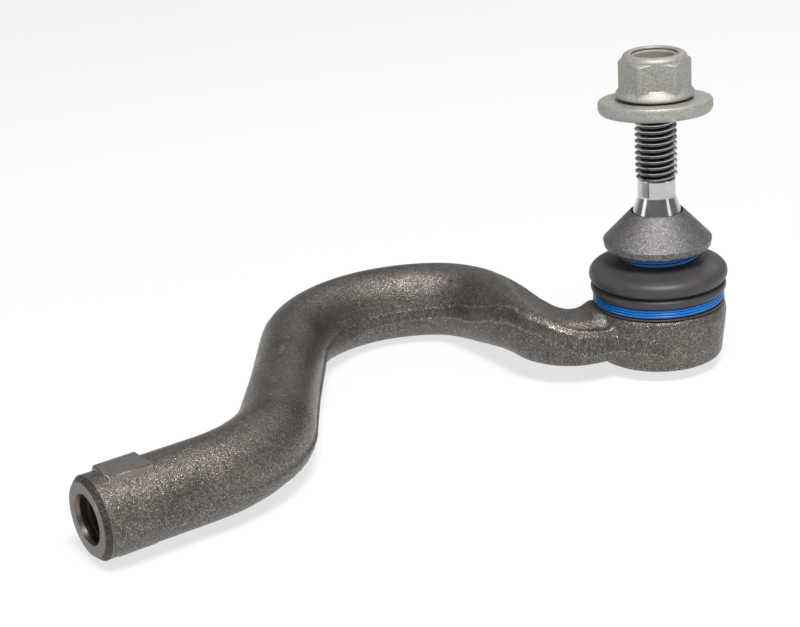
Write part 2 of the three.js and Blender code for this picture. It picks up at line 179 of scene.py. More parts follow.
def soften(corners, steps=4):
    """A profile of (radius, height[, corner radius]) with its corners rounded."""
    out = []
    count = len(corners)
    for i, corner in enumerate(corners):
        here = np.array(corner[:2], float)
        size = corner[2] if len(corner) > 2 else 0.0
        back = np.array(corners[i - 1][:2], float) - here
        ahead = np.array(corners[(i + 1) % count][:2], float) - here
        lengths = np.linalg.norm(back), np.linalg.norm(ahead)
        if size <= 0 or min(lengths) < 1e-6:
            out.append(here)
            continue
        reach = min(size, 0.48 * lengths[0], 0.48 * lengths[1])
        start, end = here + back / lengths[0] * reach, here + ahead / lengths[1] * reach
        for t in np.linspace(0, 1, steps + 1):
            out.append(start * (1 - t) ** 2 + 2 * here * t * (1 - t) + end * t * t)
    return np.array(out)


def flowing(points, per_span=5):
    """A Catmull-Rom line through (radius, height) points."""
    p = np.array(points, float)
    p = np.concatenate([[2 * p[0] - p[1]], p, [2 * p[-1] - p[-2]]])
    out = []
    for i in range(1, len(p) - 2):
        for t in np.linspace(0, 1, per_span, endpoint=False):
            a = 2 * p[i] + (p[i + 1] - p[i - 1]) * t
            b = (2 * p[i - 1] - 5 * p[i] + 4 * p[i + 1] - p[i + 2]) * t**2
            c = (3 * p[i] - p[i - 1] - 3 * p[i + 1] + p[i + 2]) * t**3
            out.append((a + b + c) / 2)
    out.append(p[-2])
    return np.array(out)


def turned_rows(profile, around):
    """Rows of points of a profile turned about Z."""
    angle = np.arange(around) / around * TAU
    profile = np.asarray(profile, float)
    x = profile[:, 0:1] * np.cos(angle)
    y = profile[:, 0:1] * np.sin(angle)
    return np.stack([x, y, np.repeat(profile[:, 1:2], around, axis=1)], axis=2)


def turned_piece(name, profile, material, around=128, sharp_deg=38.0):
    """A round piece about the ball joint's axis from a closed profile."""
    rows = turned_rows(profile, around)
    return new_piece(name, rows.reshape(-1, 3), ring_faces(len(rows), around), material, sharp_deg)


def thread_form(share):
    """Height of a 60 degree thread, 1 at its crest and 0 at its root, for a share of the pitch."""
    off = np.abs((share + 0.5) % 1.0 - 0.5)
    return np.clip((0.375 - off) / (0.375 - 0.0625), 0, 1)


def thread_rows(start, end, pitch, radius_at, around, per_pitch=16):
    """Points and faces of a helical surface from start to end, flush with plain rings at both ends."""
    turns = int(math.ceil((end - start) / pitch)) + 1
    rows = (turns + 1) * per_pitch + 1
    i = np.arange(rows)[:, None]
    k = np.arange(around)[None, :]
    share = (i % per_pitch) / per_pitch + 0 * k
    raw = start + pitch * (i / per_pitch - 1 + k / around)
    height = np.clip(raw, start, end)
    radius = radius_at(height, thread_form(share))
    angle = k / around * TAU + 0 * i
    points = np.stack([radius * np.cos(angle), radius * np.sin(angle), height], axis=2)
    faces = []
    for row in range(rows - 1):
        for col in range(around - 1):
            a = row * around + col
            faces.append((a, a + 1, a + 1 + around, a + around))
        if row + per_pitch + 1 < rows:
            low = row * around + around - 1
            high = (row + per_pitch) * around
            faces.append((low, high, high + around, low + around))
    return points.reshape(-1, 3), faces


# ---- implicit shapes for the forging -------------------------------------------------------------
def eased(x, low, high):
    """0 below low, 1 above high, smooth in between."""
    t = np.clip((x - low) / (high - low), 0, 1)
    return t * t * (3 - 2 * t)


def joined(a, b, blend):
    """Union of two fields with a fillet."""
    h = np.clip(0.5 + 0.5 * (b - a) / blend, 0, 1)
    return b * (1 - h) + a * h - blend * h * (1 - h)


def cut(a, b, blend):
    """Field a less field b, with a slightly broken edge."""
    return -joined(-a, b, blend)


def profile_field(r, z, profile):
    """Signed distance to a closed (radius, height) profile, below 0 inside."""
    p = np.array(profile, float)
    best = np.full(r.shape, 1e9)
    inside = np.zeros(r.shape, bool)
    for (ar, az), (br, bz) in zip(p, np.roll(p, -1, axis=0)):
        dr, dz = br - ar, bz - az
        t = np.clip(((r - ar) * dr + (z - az) * dz) / max(dr * dr + dz * dz, 1e-12), 0, 1)
        best = np.minimum(best, (r - ar - t * dr) ** 2 + (z - az - t * dz) ** 2)
        if abs(dz) > 1e-12:
            crosses = ((az > z) != (bz > z)) & (r < ar + dr * (z - az) / dz)
            inside ^= crosses
    return np.where(inside, -1, 1) * np.sqrt(best)


def sampled(field, at):
    """Trilinear value of a grid at fractional grid positions."""
    at = np.clip(at, 0, np.array(field.shape) - 1.001)
    low = at.astype(int)
    f = at - low
    total = 0
    for dx in (0, 1):
        for dy in (0, 1):
            for dz in (0, 1):
                weight = (
                    (f[:, 0] if dx else 1 - f[:, 0])
                    * (f[:, 1] if dy else 1 - f[:, 1])
                    * (f[:, 2] if dz else 1 - f[:, 2])
                )
                total = total + weight * field[low[:, 0] + dx, low[:, 1] + dy, low[:, 2] + dz]
    return total


SNAP_ROUNDS, SNAP_LIMIT = 3, 0.4  # moves of each point onto the surface, and the longest one in cells


def surface_of(field, origin, step):
    """Points and quads of a field's zero surface, one point for each cell that it crosses."""
    inside = field < 0
    n = np.array(field.shape) - 1
    corners = [(dx, dy, dz) for dx in (0, 1) for dy in (0, 1) for dz in (0, 1)]
    count = np.zeros(n, np.uint8)
    for dx, dy, dz in corners:
        count += inside[dx : dx + n[0], dy : dy + n[1], dz : dz + n[2]]
    cells = np.argwhere((count > 0) & (count < 8))
    total = np.zeros((len(cells), 3))
    hits = np.zeros(len(cells))
    for a in corners:
        for axis in range(3):
            if a[axis]:
                continue
            b = list(a)
            b[axis] = 1
            fa = field[tuple((cells + a).T)]
            fb = field[tuple((cells + b).T)]
            crossing = (fa < 0) != (fb < 0)
            t = np.where(crossing, fa / np.where(crossing, fa - fb, 1), 0)
            place = np.array(a, float) + np.eye(3)[axis] * t[:, None]
            total += place * crossing[:, None]
            hits += crossing
    at = cells + total / hits[:, None]
    for _ in range(SNAP_ROUNDS):
        value = sampled(field, at)
        slope = np.stack(
            [sampled(field, at + 0.5 * e) - sampled(field, at - 0.5 * e) for e in np.eye(3)], axis=1
        )
        size = np.maximum((slope**2).sum(1), 1e-9)
        move = slope * (value / size)[:, None]
        at -= np.clip(move, -SNAP_LIMIT, SNAP_LIMIT)
    number = np.full(n, -1, np.int32)
    number[tuple(cells.T)] = np.arange(len(cells))
    quads = []
    for axis in range(3):
        second, third = (axis + 1) % 3, (axis + 2) % 3
        low = [slice(None)] * 3
        high = [slice(None)] * 3
        low[axis], high[axis] = slice(None, -1), slice(1, None)
        edges = np.argwhere(inside[tuple(low)] != inside[tuple(high)])
        keep = (edges[:, second] > 0) & (edges[:, third] > 0)
        keep &= (edges[:, second] < n[second]) & (edges[:, third] < n[third])
        edges = edges[keep]
        ring = []
        for ds, dt in ((-1, -1), (0, -1), (0, 0), (-1, 0)):
            cell = edges.copy()
            cell[:, second] += ds
            cell[:, third] += dt
            ring.append(number[tuple(cell.T)])
        quad = np.stack(ring, axis=1)
        flip = ~inside[tuple(edges.T)]
        quad[flip] = quad[flip][:, ::-1]
        quads.append(quad)
    return origin + at * step, np.concatenate(quads)


# ---- materials -----------------------------------------------------------------------------------
MIX_COLOUR_A, MIX_COLOUR_B, MIX_COLOUR_OUT = 6, 7, 2  # the colour sockets of a mix node


class Finish:
    """A material being built round one Principled shader, in object coordinates."""

    def __init__(self, name, metallic, specular=0.5):
        self.material = bpy.data.materials.new(name)
        self.material.use_nodes = True
        self.tree = self.material.node_tree
        self.shader = self.tree.nodes["Principled BSDF"]
        self.shader.inputs["Metallic"].default_value = metallic
        self.shader.inputs["Specular IOR Level"].default_value = specular
        self.place = self.tree.nodes.new("ShaderNodeTexCoord").outputs["Object"]
        self.bumps = []

    def link(self, a, b):
        """Joins an output to an input."""
        self.tree.links.new(a, b)

    def noise(self, size_mm, detail=4.0, roughness=0.6, stretch=(1, 1, 1)):
        """Noise with features of about that size."""
        node = self.tree.nodes.new("ShaderNodeTexNoise")
        mapping = self.tree.nodes.new("ShaderNodeMapping")
        mapping.inputs["Scale"].default_value = stretch
        self.link(self.place, mapping.inputs["Vector"])
        self.link(mapping.outputs["Vector"], node.inputs["Vector"])
        node.inputs["Scale"].default_value = 1000.0 / size_mm
        node.inputs["Detail"].default_value = detail
        node.inputs["Roughness"].default_value = roughness
        return node.outputs["Fac"]

    def ramp(self, value, low, high, to_low=0.0, to_high=1.0):
        """A value stretched from low..high to another range, clamped."""
        node = self.tree.nodes.new("ShaderNodeMapRange")
        node.clamp = True
        self.link(value, node.inputs["Value"])
        node.inputs["From Min"].default_value = low
        node.inputs["From Max"].default_value = high
        node.inputs["To Min"].default_value = to_low
        node.inputs["To Max"].default_value = to_high
        return node.outputs["Result"]

    def mixed(self, share, a, b):
        """Colour a to colour b. Either may be a socket."""
        node = self.tree.nodes.new("ShaderNodeMix")
        node.data_type = "RGBA"
        self.link(share, node.inputs["Factor"])
        for socket, value in ((node.inputs[MIX_COLOUR_A], a), (node.inputs[MIX_COLOUR_B], b)):
            if isinstance(value, bpy.types.NodeSocket):
                self.link(value, socket)
            else:
                socket.default_value = (*tuple(value)[:3], 1.0)
        return node.outputs[MIX_COLOUR_OUT]

    def times(self, a, b, operation="MULTIPLY"):
        """Two values multiplied, or joined by another operation."""
        node = self.tree.nodes.new("ShaderNodeMath")
        node.operation = operation
        for socket, value in ((node.inputs[0], a), (node.inputs[1], b)):
            if isinstance(value, bpy.types.NodeSocket):
                self.link(value, socket)
            else:
                socket.default_value = value
        return node.outputs[0]

    def axis_radius(self):
        """Distance from the ball joint's axis."""
        node = self.tree.nodes.new("ShaderNodeVectorMath")
        node.operation = "MULTIPLY"
        node.inputs[1].default_value = (1, 1, 0)
        size = self.tree.nodes.new("ShaderNodeVectorMath")
        size.operation = "LENGTH"
        self.link(self.place, node.inputs[0])
        self.link(node.outputs["Vector"], size.inputs[0])
        return size.outputs["Value"]

    def edges(self, low, high):
        """1 on sharp outer edges, where rubbed wear and a painted edge highlight go."""
        node = self.tree.nodes.new("ShaderNodeNewGeometry")
        return self.ramp(node.outputs["Pointiness"], low, high)

    def bump(self, height, depth_mm, strength=1.0):
        """Adds one layer of bump over the ones before."""
        node = self.tree.nodes.new("ShaderNodeBump")
        node.inputs["Distance"].default_value = depth_mm * MM
        node.inputs["Strength"].default_value = strength
        self.link(height, node.inputs["Height"])
        if self.bumps:
            self.link(self.bumps[-1], node.inputs["Normal"])
        self.bumps.append(node.outputs["Normal"])
        self.link(node.outputs["Normal"], self.shader.inputs["Normal"])

    def colour(self, socket):
        """Sets the base colour."""
        self.link(socket, self.shader.inputs["Base Color"])

    def rough(self, socket):
        """Sets the roughness."""
        self.link(socket, self.shader.inputs["Roughness"])


def blasted(
    name, dark, light, metallic=0.8, grain_mm=0.36, rough=(0.22, 0.50), edge_wear_and_highlight=0.5, stain=0.4, stretch=(1, 1, 1)
):
    """Shot-blasted forging: grains with painted glints, cloudy scale stains, and edges lighter from rubbing
    and a painted edge highlight.
    """
    f = Finish(name, metallic)
    grain = f.noise(grain_mm, 2.0, 0.6, stretch)
    fine = f.noise(grain_mm * 0.5, 2.0, 0.6)
    pits = f.noise(grain_mm * 4.0, 4.0, 0.62, stretch)
    cloud = f.noise(16.0, 5.0, 0.62)
    streak = f.noise(6.0, 4.0, 0.6, (1, 1, 2.2))
    tone = f.mixed(f.ramp(f.times(grain, fine, "ADD"), 0.84, 1.18), dark, light)
    # painted glints: the brightest grain speckles are painted 2.2 times lighter than the forging
    tone = f.mixed(f.ramp(f.times(fine, grain), 0.32, 0.39, 0.0, 0.9), tone, toned(light, 2.2))
    tone = f.mixed(f.ramp(pits, 0.56, 0.66, 0.0, 0.5), tone, toned(dark, 0.6))
    tone = f.mixed(f.ramp(cloud, 0.50, 0.70, 0.0, stain), tone, toned(dark, 0.6))
    rust = (dark[0] * 1.9, dark[1] * 1.55, dark[2] * 1.35)
    tone = f.mixed(f.ramp(streak, 0.56, 0.78, 0.0, 0.4), tone, rust)
    # lighter on sharp outer edges: partly rubbed wear, partly a painted edge highlight
    tone = f.mixed(f.times(f.edges(0.515, 0.58), edge_wear_and_highlight), tone, toned(light, 1.7))
    f.colour(tone)
    f.rough(f.ramp(f.times(grain, f.ramp(cloud, 0.3, 0.7, 0.85, 1.15)), 0.35, 0.68, rough[1], rough[0]))
    f.bump(cloud, 0.35, 0.5)
    f.bump(pits, 0.30, 0.55)
    f.bump(grain, 0.15, 0.7)
    f.bump(fine, 0.07, 0.6)
    return f.material


def ground(name, tint, rough=(0.10, 0.20), rings=True, depth=0.006, root=None):
    """Turned and ground steel with faint lay marks, and painted shade darkening it towards the thread's root
    radius if it has one.
    """
    f = Finish(name, 1.0)
    lay = f.noise(3.0, 3.0, 0.7, (0.25, 0.25, 22.0) if rings else (22.0, 0.25, 0.25))
    smear = f.noise(4.0, 4.0, 0.6)
    tone = f.mixed(f.ramp(smear, 0.35, 0.7), toned(tint, 0.86), tint)
    # painted shade: darker towards the thread's root radius
    if root:
        tone = f.mixed(f.ramp(f.axis_radius(), root[0] * MM, root[1] * MM), toned(tint, 0.16), tone)
    f.colour(tone)
    f.rough(f.ramp(f.times(lay, smear, "ADD"), 0.7, 1.3, rough[0], rough[1]))
    f.bump(lay, depth, 0.6)
    return f.material


def plated(name, dark, light):
    """Zinc flake coat: matt, finely speckled, paler on the edges from a thicker coat and a painted edge
    highlight.
    """
    f = Finish(name, 0.6)
    grain = f.noise(0.5, 4.0, 0.72)
    fine = f.noise(0.22, 2.0, 0.6)
    cloud = f.noise(5.5, 4.0, 0.6)
    tone = f.mixed(f.ramp(f.times(grain, fine, "ADD"), 0.80, 1.12), dark, light)
    tone = f.mixed(f.ramp(cloud, 0.45, 0.72, 0.0, 0.35), tone, toned(light, 0.72))
    # paler on sharp outer edges: partly a thicker coat, partly a painted edge highlight
    tone = f.mixed(f.edges(0.505, 0.56), tone, toned(light, 1.25))
    f.colour(tone)
    f.rough(f.ramp(f.times(grain, cloud, "ADD"), 0.75, 1.25, 0.48, 0.64))
    f.bump(cloud, 0.10, 0.5)
    f.bump(grain, 0.10, 0.6)
    f.bump(fine, 0.04, 0.5)
    return f.material


def moulded_rubber(name, tint):
    """Satin moulded rubber with a dusty bloom and tiny flecks."""
    f = Finish(name, 0.0, 0.45)
    skin = f.noise(0.4, 3.0, 0.6)
    bloom = f.noise(7.0, 5.0, 0.65)
    fleck = f.noise(0.9, 2.0, 0.5)
    tone = f.mixed(f.ramp(bloom, 0.35, 0.75), tint, [1.5 * c + 0.003 for c in tint])
    tone = f.mixed(f.ramp(fleck, 0.70, 0.78, 0.0, 0.5), tone, (0.16, 0.155, 0.155))
    f.colour(tone)
    f.rough(f.ramp(f.times(bloom, skin, "ADD"), 0.7, 1.3, 0.38, 0.52))
    f.bump(bloom, 0.12, 0.4)
    f.bump(skin, 0.025, 0.5)
    f.shader.inputs["Sheen Weight"].default_value = 0.08
    f.shader.inputs["Sheen Roughness"].default_value = 0.4
    return f.material


def coated_wire(name, tint):
    """Glossy coated spring wire, a little darker in patches."""
    f = Finish(name, 0.0, 0.45)
    patch = f.noise(3.0, 3.0, 0.6)
    skin = f.noise(0.5, 3.0, 0.6)
    f.colour(f.mixed(f.ramp(patch, 0.35, 0.7), toned(tint, 0.72), tint))
    f.rough(f.ramp(skin, 0.3, 0.7, 0.20, 0.32))
    f.bump(skin, 0.02, 0.4)
    return f.material


def moulded_plastic(name, tint, rough=(0.38, 0.55)):
    """Moulded engineering plastic with soft flow marks."""
    f = Finish(name, 0.0, 0.5)
    flow = f.noise(3.5, 4.0, 0.6, (1, 1, 2.5))
    skin = f.noise(0.45, 3.0, 0.6)
    f.colour(f.mixed(f.ramp(flow, 0.35, 0.72), toned(tint, 0.78), tint))
    f.rough(f.ramp(skin, 0.3, 0.7, rough[0], rough[1]))
    f.bump(flow, 0.06, 0.4)
    f.bump(skin, 0.02, 0.5)
    return f.material


def plain_stage(name, tint):
    """Pale matt floor with the faintest mottle."""
    f = Finish(name, 0.0, 0.2)
    mottle = f.noise(400.0, 2.0, 0.5)
    f.colour(f.mixed(mottle, toned(tint, 0.99), tint))
    f.shader.inputs["Roughness"].default_value = 0.9
    f.shader.inputs["Emission Color"].default_value = (1, 1, 1, 1)
    f.shader.inputs["Emission Strength"].default_value = 0.72
    return f.material


# ---- housing -------------------------------------------------------------------------------------
ARM_CORNERS = [(-184.8, 0), (-133, 0), (-68, 87.5), (-28.7, 56), (-32, 8), (0, 0)]
ARM_RADII = [38, 37.5, 21, 12]
PATH_STEP, ARC_POINTS, CHUNK = 0.4, 60, 8000  # spacing of the arm's line, points on a bend, points in one go
# Share of the way along the arm, half width, half height, squareness of the section.
ARM_STATIONS = np.array(
    [
        (0.00, 10.9, 10.9, 2.0),
        (0.20, 10.9, 10.9, 2.0),
        (0.36, 9.6, 10.9, 2.1),
        (0.60, 9.5, 11.1, 2.2),
        (0.72, 9.5, 11.0, 2.3),
        (0.84, 8.2, 6.5, 3.0),
        (0.92, 8.1, 6.5, 4.6),
        (1.00, 9.0, 6.5, 4.6),
    ]
)
# Share of the way along the arm, upper and lower edges of the land that the trimmed flash left.
TRIM_UPPER = np.array(
    [(0.0, 1.0), (0.04, 0.2), (0.1, -1.3), (0.19, -2.5), (0.35, -2.4), (0.48, -1.4), (0.56, 0.1), (0.63, 0.2),
     (0.70, 0.8), (0.77, 4.1), (0.80, 6.5), (0.82, 8.2), (0.844, 9.3), (0.858, 9.1), (0.868, 8.6),
     (0.877, 7.9), (0.885, 6.5), (0.894, 4.7), (0.902, 3.6), (0.914, 2.8), (0.938, 1.9), (1.0, 1.8)]
)
TRIM_LOWER = np.array(
    [(0.0, -3.2), (0.1, -5.0), (0.19, -6.1), (0.35, -6.3), (0.52, -5.6), (0.58, -3.6), (0.66, -3.0),
     (0.75, -1.4), (0.771, -0.8), (0.808, 2.5), (0.846, 4.9), (0.864, 4.7), (0.873, 4.2), (0.881, 2.8),
     (0.89, 0.8), (0.90, -1.6), (0.907, -2.5), (1.0, -2.5)]
)
# Share of the way along the arm, then the neck's crest: its side, its height and its height at the wall.
NECK_CREST = np.array(
    [(0.70, -6.0, 11.6, 11.6), (0.76, -2.5, 11.4, 11.2), (0.80, 0.0, 10.9, 10.6), (0.83, 2.0, 10.4, 10.0),
     (0.858, 3.6, 9.7, 9.2), (0.868, 4.4, 9.3, 8.7), (0.877, 5.2, 8.7, 8.0), (0.885, 6.2, 7.6, 6.6),
     (0.894, 7.0, 6.3, 4.8), (0.902, 7.4, 5.3, 3.7), (0.914, 7.5, 4.5, 2.9), (0.938, 7.4, 3.6, 1.9),
     (1.0, 7.4, 3.4, 1.8)]
)
CREST_REACH = 9.0  # how far behind the crest the top starts to rise to it
HOLLOW_BACK, HOLLOW_WIDTH = 2.4, 1.7  # how far behind the crest the hollow lies, and how wide it is
NECK_START = 0.70  # share of the way along the arm where the neck starts
NECK_HALF = 8.2  # half of the neck's width
LAND_PROUD = 0.55  # share of the land's height that is left proud of the walls
LAND_FROM, LAND_TO = 0.3, 0.965  # shares of the way along the arm between which the land is sheared
# Share of the way along the arm, height of its top above the parting plane.
BODY_TOP = np.array(
    [(0.0, 10.9), (0.36, 10.9), (0.60, 11.1), (0.72, 11.0), (0.86, 11.0), (0.90, 8.6), (1.0, 8.0)]
)
SHANK_FACE_R = 9.55
SHANK_CHAMFER_R = 10.2
SOCKET_MINOR_R = 6.2
SOCKET_MOUTH_R = 6.65
PAD_FROM_END = 11.0  # middle of the spanner pads
PAD_HALF = (5.8, 4.6, 11.35)  # length, width and height of a pad's flat, halved
LOWER_PAD_HALF = (5.5, 3.2, 11.05)
PAD_DRAFT, PAD_EDGE = 0.3, 0.28
PAD_ROOT = 8.6  # height inside the shank that a pad starts from
EYE_PROFILE = [
    (0, -8.6), (16.9, -8.6), (17.6, -8.4), (18.1, -7.9), (18.3, -7.2), (19.5, 4.4),
    (19.05, 6.5), (18.4, 7.3), (17, 7.3), (17, 10.4), (16.6, 10.8), (0, 10.8),
]
EYE_CAVITY = [
    (0, -12), (14.9, -12), (14.9, -7.5), (12.6, -7.5), (12.6, 6.3), (9.75, 9.45), (9.3, 9.45),
    (9.3, 9.9), (10.5, 11.2), (10.5, 14), (0, 14),
]
EYE_REACH = 27.0
GRID_HALF_HEIGHT = 12.6
WAVE_DEPTH = 0.045
NICK_PLACE, NICK_DEPTH = (-160.4, -1.0), 0.4
SOCKET_HOLE_R, SOCKET_HOLE_DEPTH = 7.45, 42.5  # room in the forging for the socket's own piece
SOCKET_AROUND = 96
SOCKET_THREAD = (2.0, 31.0)  # where the socket's thread starts and ends, from the shank's end


def rounded_path(corners, radii):
    """Plan points of straight runs with rounded corners, about a path step apart."""
    p = [np.array(c, float) for c in corners]
    line = [p[0]]
    for i in range(1, len(p) - 1):
        back = (p[i - 1] - p[i]) / np.linalg.norm(p[i - 1] - p[i])
        ahead = (p[i + 1] - p[i]) / np.linalg.norm(p[i + 1] - p[i])
        half = math.acos(float(back @ ahead)) / 2
        middle = (back + ahead) / np.linalg.norm(back + ahead)
        centre = p[i] + middle * radii[i - 1] / math.sin(half)
        start = p[i] + back * radii[i - 1] / math.tan(half) - centre
        end = p[i] + ahead * radii[i - 1] / math.tan(half) - centre
        first = math.atan2(start[1], start[0])
        sweep = (math.atan2(end[1], end[0]) - first + math.pi) % TAU - math.pi
        for t in np.linspace(0, 1, ARC_POINTS):
            a = first + sweep * t
            line.append(centre + radii[i - 1] * np.array([math.cos(a), math.sin(a)]))
    line.append(p[-1])
    line = np.array(line)
    along = np.concatenate([[0], np.cumsum(np.linalg.norm(np.diff(line, axis=0), axis=1))])
    at = np.linspace(0, along[-1], int(along[-1] / PATH_STEP))
    return np.stack([np.interp(at, along, line[:, 0]), np.interp(at, along, line[:, 1])], axis=1)


def along_arm(x, y):
    """For plan points, the share of the way along the arm and how far to its near side they are."""
    line = rounded_path(ARM_CORNERS, ARM_RADII)
    tangent = np.gradient(line, axis=0)
    tangent /= np.linalg.norm(tangent, axis=1)[:, None]
    flat = np.stack([x.ravel(), y.ravel()], axis=1)
    share = np.empty(len(flat))
    side = np.empty(len(flat))
    for first in range(0, len(flat), CHUNK):
        part = flat[first : first + CHUNK]
        gap = part[:, None, :] - line[None]
        nearest = (gap**2).sum(2).argmin(1)
        g = part - line[nearest]
        t = tangent[nearest]
        ahead = (g * t).sum(1)
        across = g[:, 0] * t[:, 1] - g[:, 1] * t[:, 0]
        over = np.maximum(np.abs(ahead) - PATH_STEP, 0)
        share[first : first + CHUNK] = (nearest + ahead / PATH_STEP) / (len(line) - 1)
        side[first : first + CHUNK] = np.sign(across) * np.hypot(across, over)
    return np.clip(share, 0, 1).reshape(x.shape), side.reshape(x.shape)


def section(share, column):
    """One of the section's sizes, eased between the stations."""
    at = ARM_STATIONS[:, 0]
    i = np.clip(np.searchsorted(at, share, side="left"), 1, len(at) - 1)
    t = (share - at[i - 1]) / (at[i] - at[i - 1])
    e = t * t * (3 - 2 * t)
    low, high = ARM_STATIONS[i - 1, column], ARM_STATIONS[i, column]
    return low + (high - low) * e


def trimmed_land(share, side, z):
    """1 on the raised land that the trimmed flash left along the arm's sides, 0 off it."""
    ragged = 0.16 * np.sin(share * 431) + 0.12 * np.sin(share * 967 + 1) + 0.08 * np.sin(share * 1701)
    above = np.interp(share, TRIM_UPPER[:, 0], TRIM_UPPER[:, 1]) + ragged - z
    below = z - np.interp(share, TRIM_LOWER[:, 0], TRIM_LOWER[:, 1]) + ragged
    far_end = eased(share, NECK_START, 0.76) * (side < 0)
    return eased(np.minimum(above, below), -0.22, 0.22) * (1 - far_end)


def neck_top(share, side, height, sizes):
    """Height of the neck's top: level on the far side, a crest near the other side and a facet beyond it."""
    crest, peak, foot = (np.interp(share, NECK_CREST[:, 0], NECK_CREST[:, c]) for c in (1, 2, 3))
    rise = np.clip((side - crest + CREST_REACH) / CREST_REACH, 0, 1) ** 2
    top = height + (peak - height) * rise
    behind = crest - side
    dip = sizes.neck_hollow / MM * eased(share, 0.86, 0.90) * (1 - eased(share, 0.95, 0.99))
    top = top - dip * np.exp(-(((behind - HOLLOW_BACK) / HOLLOW_WIDTH) ** 2))
    facet = peak - (peak - foot) * np.clip((side - crest) / np.maximum(NECK_HALF - crest, 0.3), 0, 1.5)
    return np.where(behind > 0, top, facet)


def arm_field(x, y, z, sizes):
    """The forged arm with its crested neck and the raised land where its flash was trimmed."""
    share, side = along_arm(x, y)
    width, height, square = (section(share, c)[..., None] for c in (1, 2, 3))
    share, side = share[..., None], side[..., None]
    body = np.interp(share, BODY_TOP[:, 0], BODY_TOP[:, 1])
    tall = np.where(z > 0, body, height)
    reach = (np.abs(side) / width) ** square + (np.abs(z) / tall) ** square
    field = (reach ** (1 / square) - 1) * np.minimum(width, tall)
    land = trimmed_land(share, side, z)
    walls = eased(np.abs(side), 0.45 * width, 0.7 * width)
    field = field - sizes.flash_land / MM * land * walls
    field = np.maximum(field, np.abs(side) - width - LAND_PROUD * sizes.flash_land / MM)
    over = (z - neck_top(share, side, height, sizes)) * 0.92
    return np.where(share > NECK_START, cut(field, -over, 0.3), field)


def eye_added(field, x, y, z, sizes):
    """The field with the round eye blended to the neck and its cavity cut out."""
    radius = np.hypot(x, y)
    near = radius < EYE_REACH
    r = np.repeat(radius[near][:, None], z.size, axis=1)
    height = np.repeat(z[0], len(r), axis=0)
    eye = profile_field(r, height, EYE_PROFILE)
    far = eased(y - 0.25 * x, 5.0, 12.0)[near][:, None]
    fillet = sizes.near_fillet / MM * (1 - far) + sizes.far_fillet / MM * far
    blend = 0.3 + (fillet - 0.3) * eased(r, 17.2, 20.5)
    whole = joined(field[near], eye, blend)
    field[near] = cut(whole, profile_field(r, height, EYE_CAVITY), 0.15)
    return field


def uneven(field, x, y, z):
    """The field with the forging's slight waves away from the eye, and a nick behind the upper pad."""
    wave = (
        np.sin(x * 0.61 + 1.3 * np.sin(y * 0.23)) * np.sin(y * 0.53 + 0.7)
        + 0.6 * np.sin(x * 1.27 + y * 0.4) * np.cos(y * 1.1 - 0.3 * x)
    )[..., None]
    field = field + WAVE_DEPTH * wave * np.cos(z * 0.45) * (np.hypot(x, y)[..., None] > 17.5)
    nick = ((x - NICK_PLACE[0]) / 1.3) ** 2 + ((y - NICK_PLACE[1]) / 0.7) ** 2
    return field + NICK_DEPTH * np.exp(-nick)[..., None] * (z > 6)


def shank_end_cut(field, x, y, z):
    """The field with the shank's end faced, chamfered and bored for the socket's own piece."""
    from_end = x[..., None] - SHANK_END_X
    radius = np.hypot(y[..., None], z)
    chamfer = (radius - SHANK_CHAMFER_R - (from_end - 0.9) * 0.9) * 0.743
    field = np.maximum(field, np.where(from_end < 5, chamfer, -5))
    field = np.maximum(field, 0.3 - from_end)
    bore = np.maximum(radius - SOCKET_HOLE_R, from_end - SOCKET_HOLE_DEPTH)
    return np.maximum(field, -bore)


def housing_field(sizes):
    """The whole housing as a field on a grid, with the grid's origin and step."""
    step = sizes.mesh_step / MM
    low = np.array([SHANK_END_X - 2.3 * step, HOUSING_LOW.y / MM - 3 * step, -GRID_HALF_HEIGHT])
    high = np.array([HOUSING_HIGH.x / MM + 3 * step, HOUSING_HIGH.y / MM + 3 * step, GRID_HALF_HEIGHT])
    axes = [np.arange(a, b, step) for a, b in zip(low, high)]
    x, y = np.meshgrid(axes[0], axes[1], indexing="ij")
    z = axes[2][None, None, :]
    field = eye_added(arm_field(x, y, z, sizes), x, y, z, sizes)
    field = shank_end_cut(uneven(field, x, y, z), x, y, z)
    return field, low, step


def forging_finishes(colours):
    """The forging's skin, its sheared land and the land's ragged edge, in the order of their face numbers."""
    dark, light = colours.forging_dark, colours.forging_light
    skin = blasted("blasted_forging", dark, light)
    sheared = blasted(
        "sheared_flash", toned(dark, 0.85), toned(light, 0.9),
        grain_mm=0.3, rough=(0.36, 0.58), stain=0.5, stretch=(1.3, 1.3, 0.26),
    )
    ragged = blasted(
        "ragged_flash_edge", toned(dark, 1.4), toned(light, 1.6), grain_mm=0.5, rough=(0.26, 0.5), stain=0.2
    )
    return [skin, sheared, ragged]


def build_forging(sizes, colours):
    """The forging's outside, with its own finish on the sheared land and on the land's edge."""
    finishes = forging_finishes(colours)
    field, low, step = housing_field(sizes)
    points, quads = surface_of(field, low, step)
    forging = new_piece("housing_forging", points, quads, finishes, sharp_deg=None, merge=None)
    middles = points[quads].mean(axis=1)
    share, side = along_arm(middles[:, 0], middles[:, 1])
    on_wall = (np.abs(side) > 0.7 * section(share, 1)) * (share > LAND_FROM) * (share < LAND_TO)
    land = trimmed_land(share, side, middles[:, 2]) * on_wall
    kind = np.where(land > 0.92, 1, np.where(land > 0.08, 2, 0))
    forging.data.polygons.foreach_set("material_index", kind.astype(np.int32))
    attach(forging, "housing")
    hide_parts("housing")


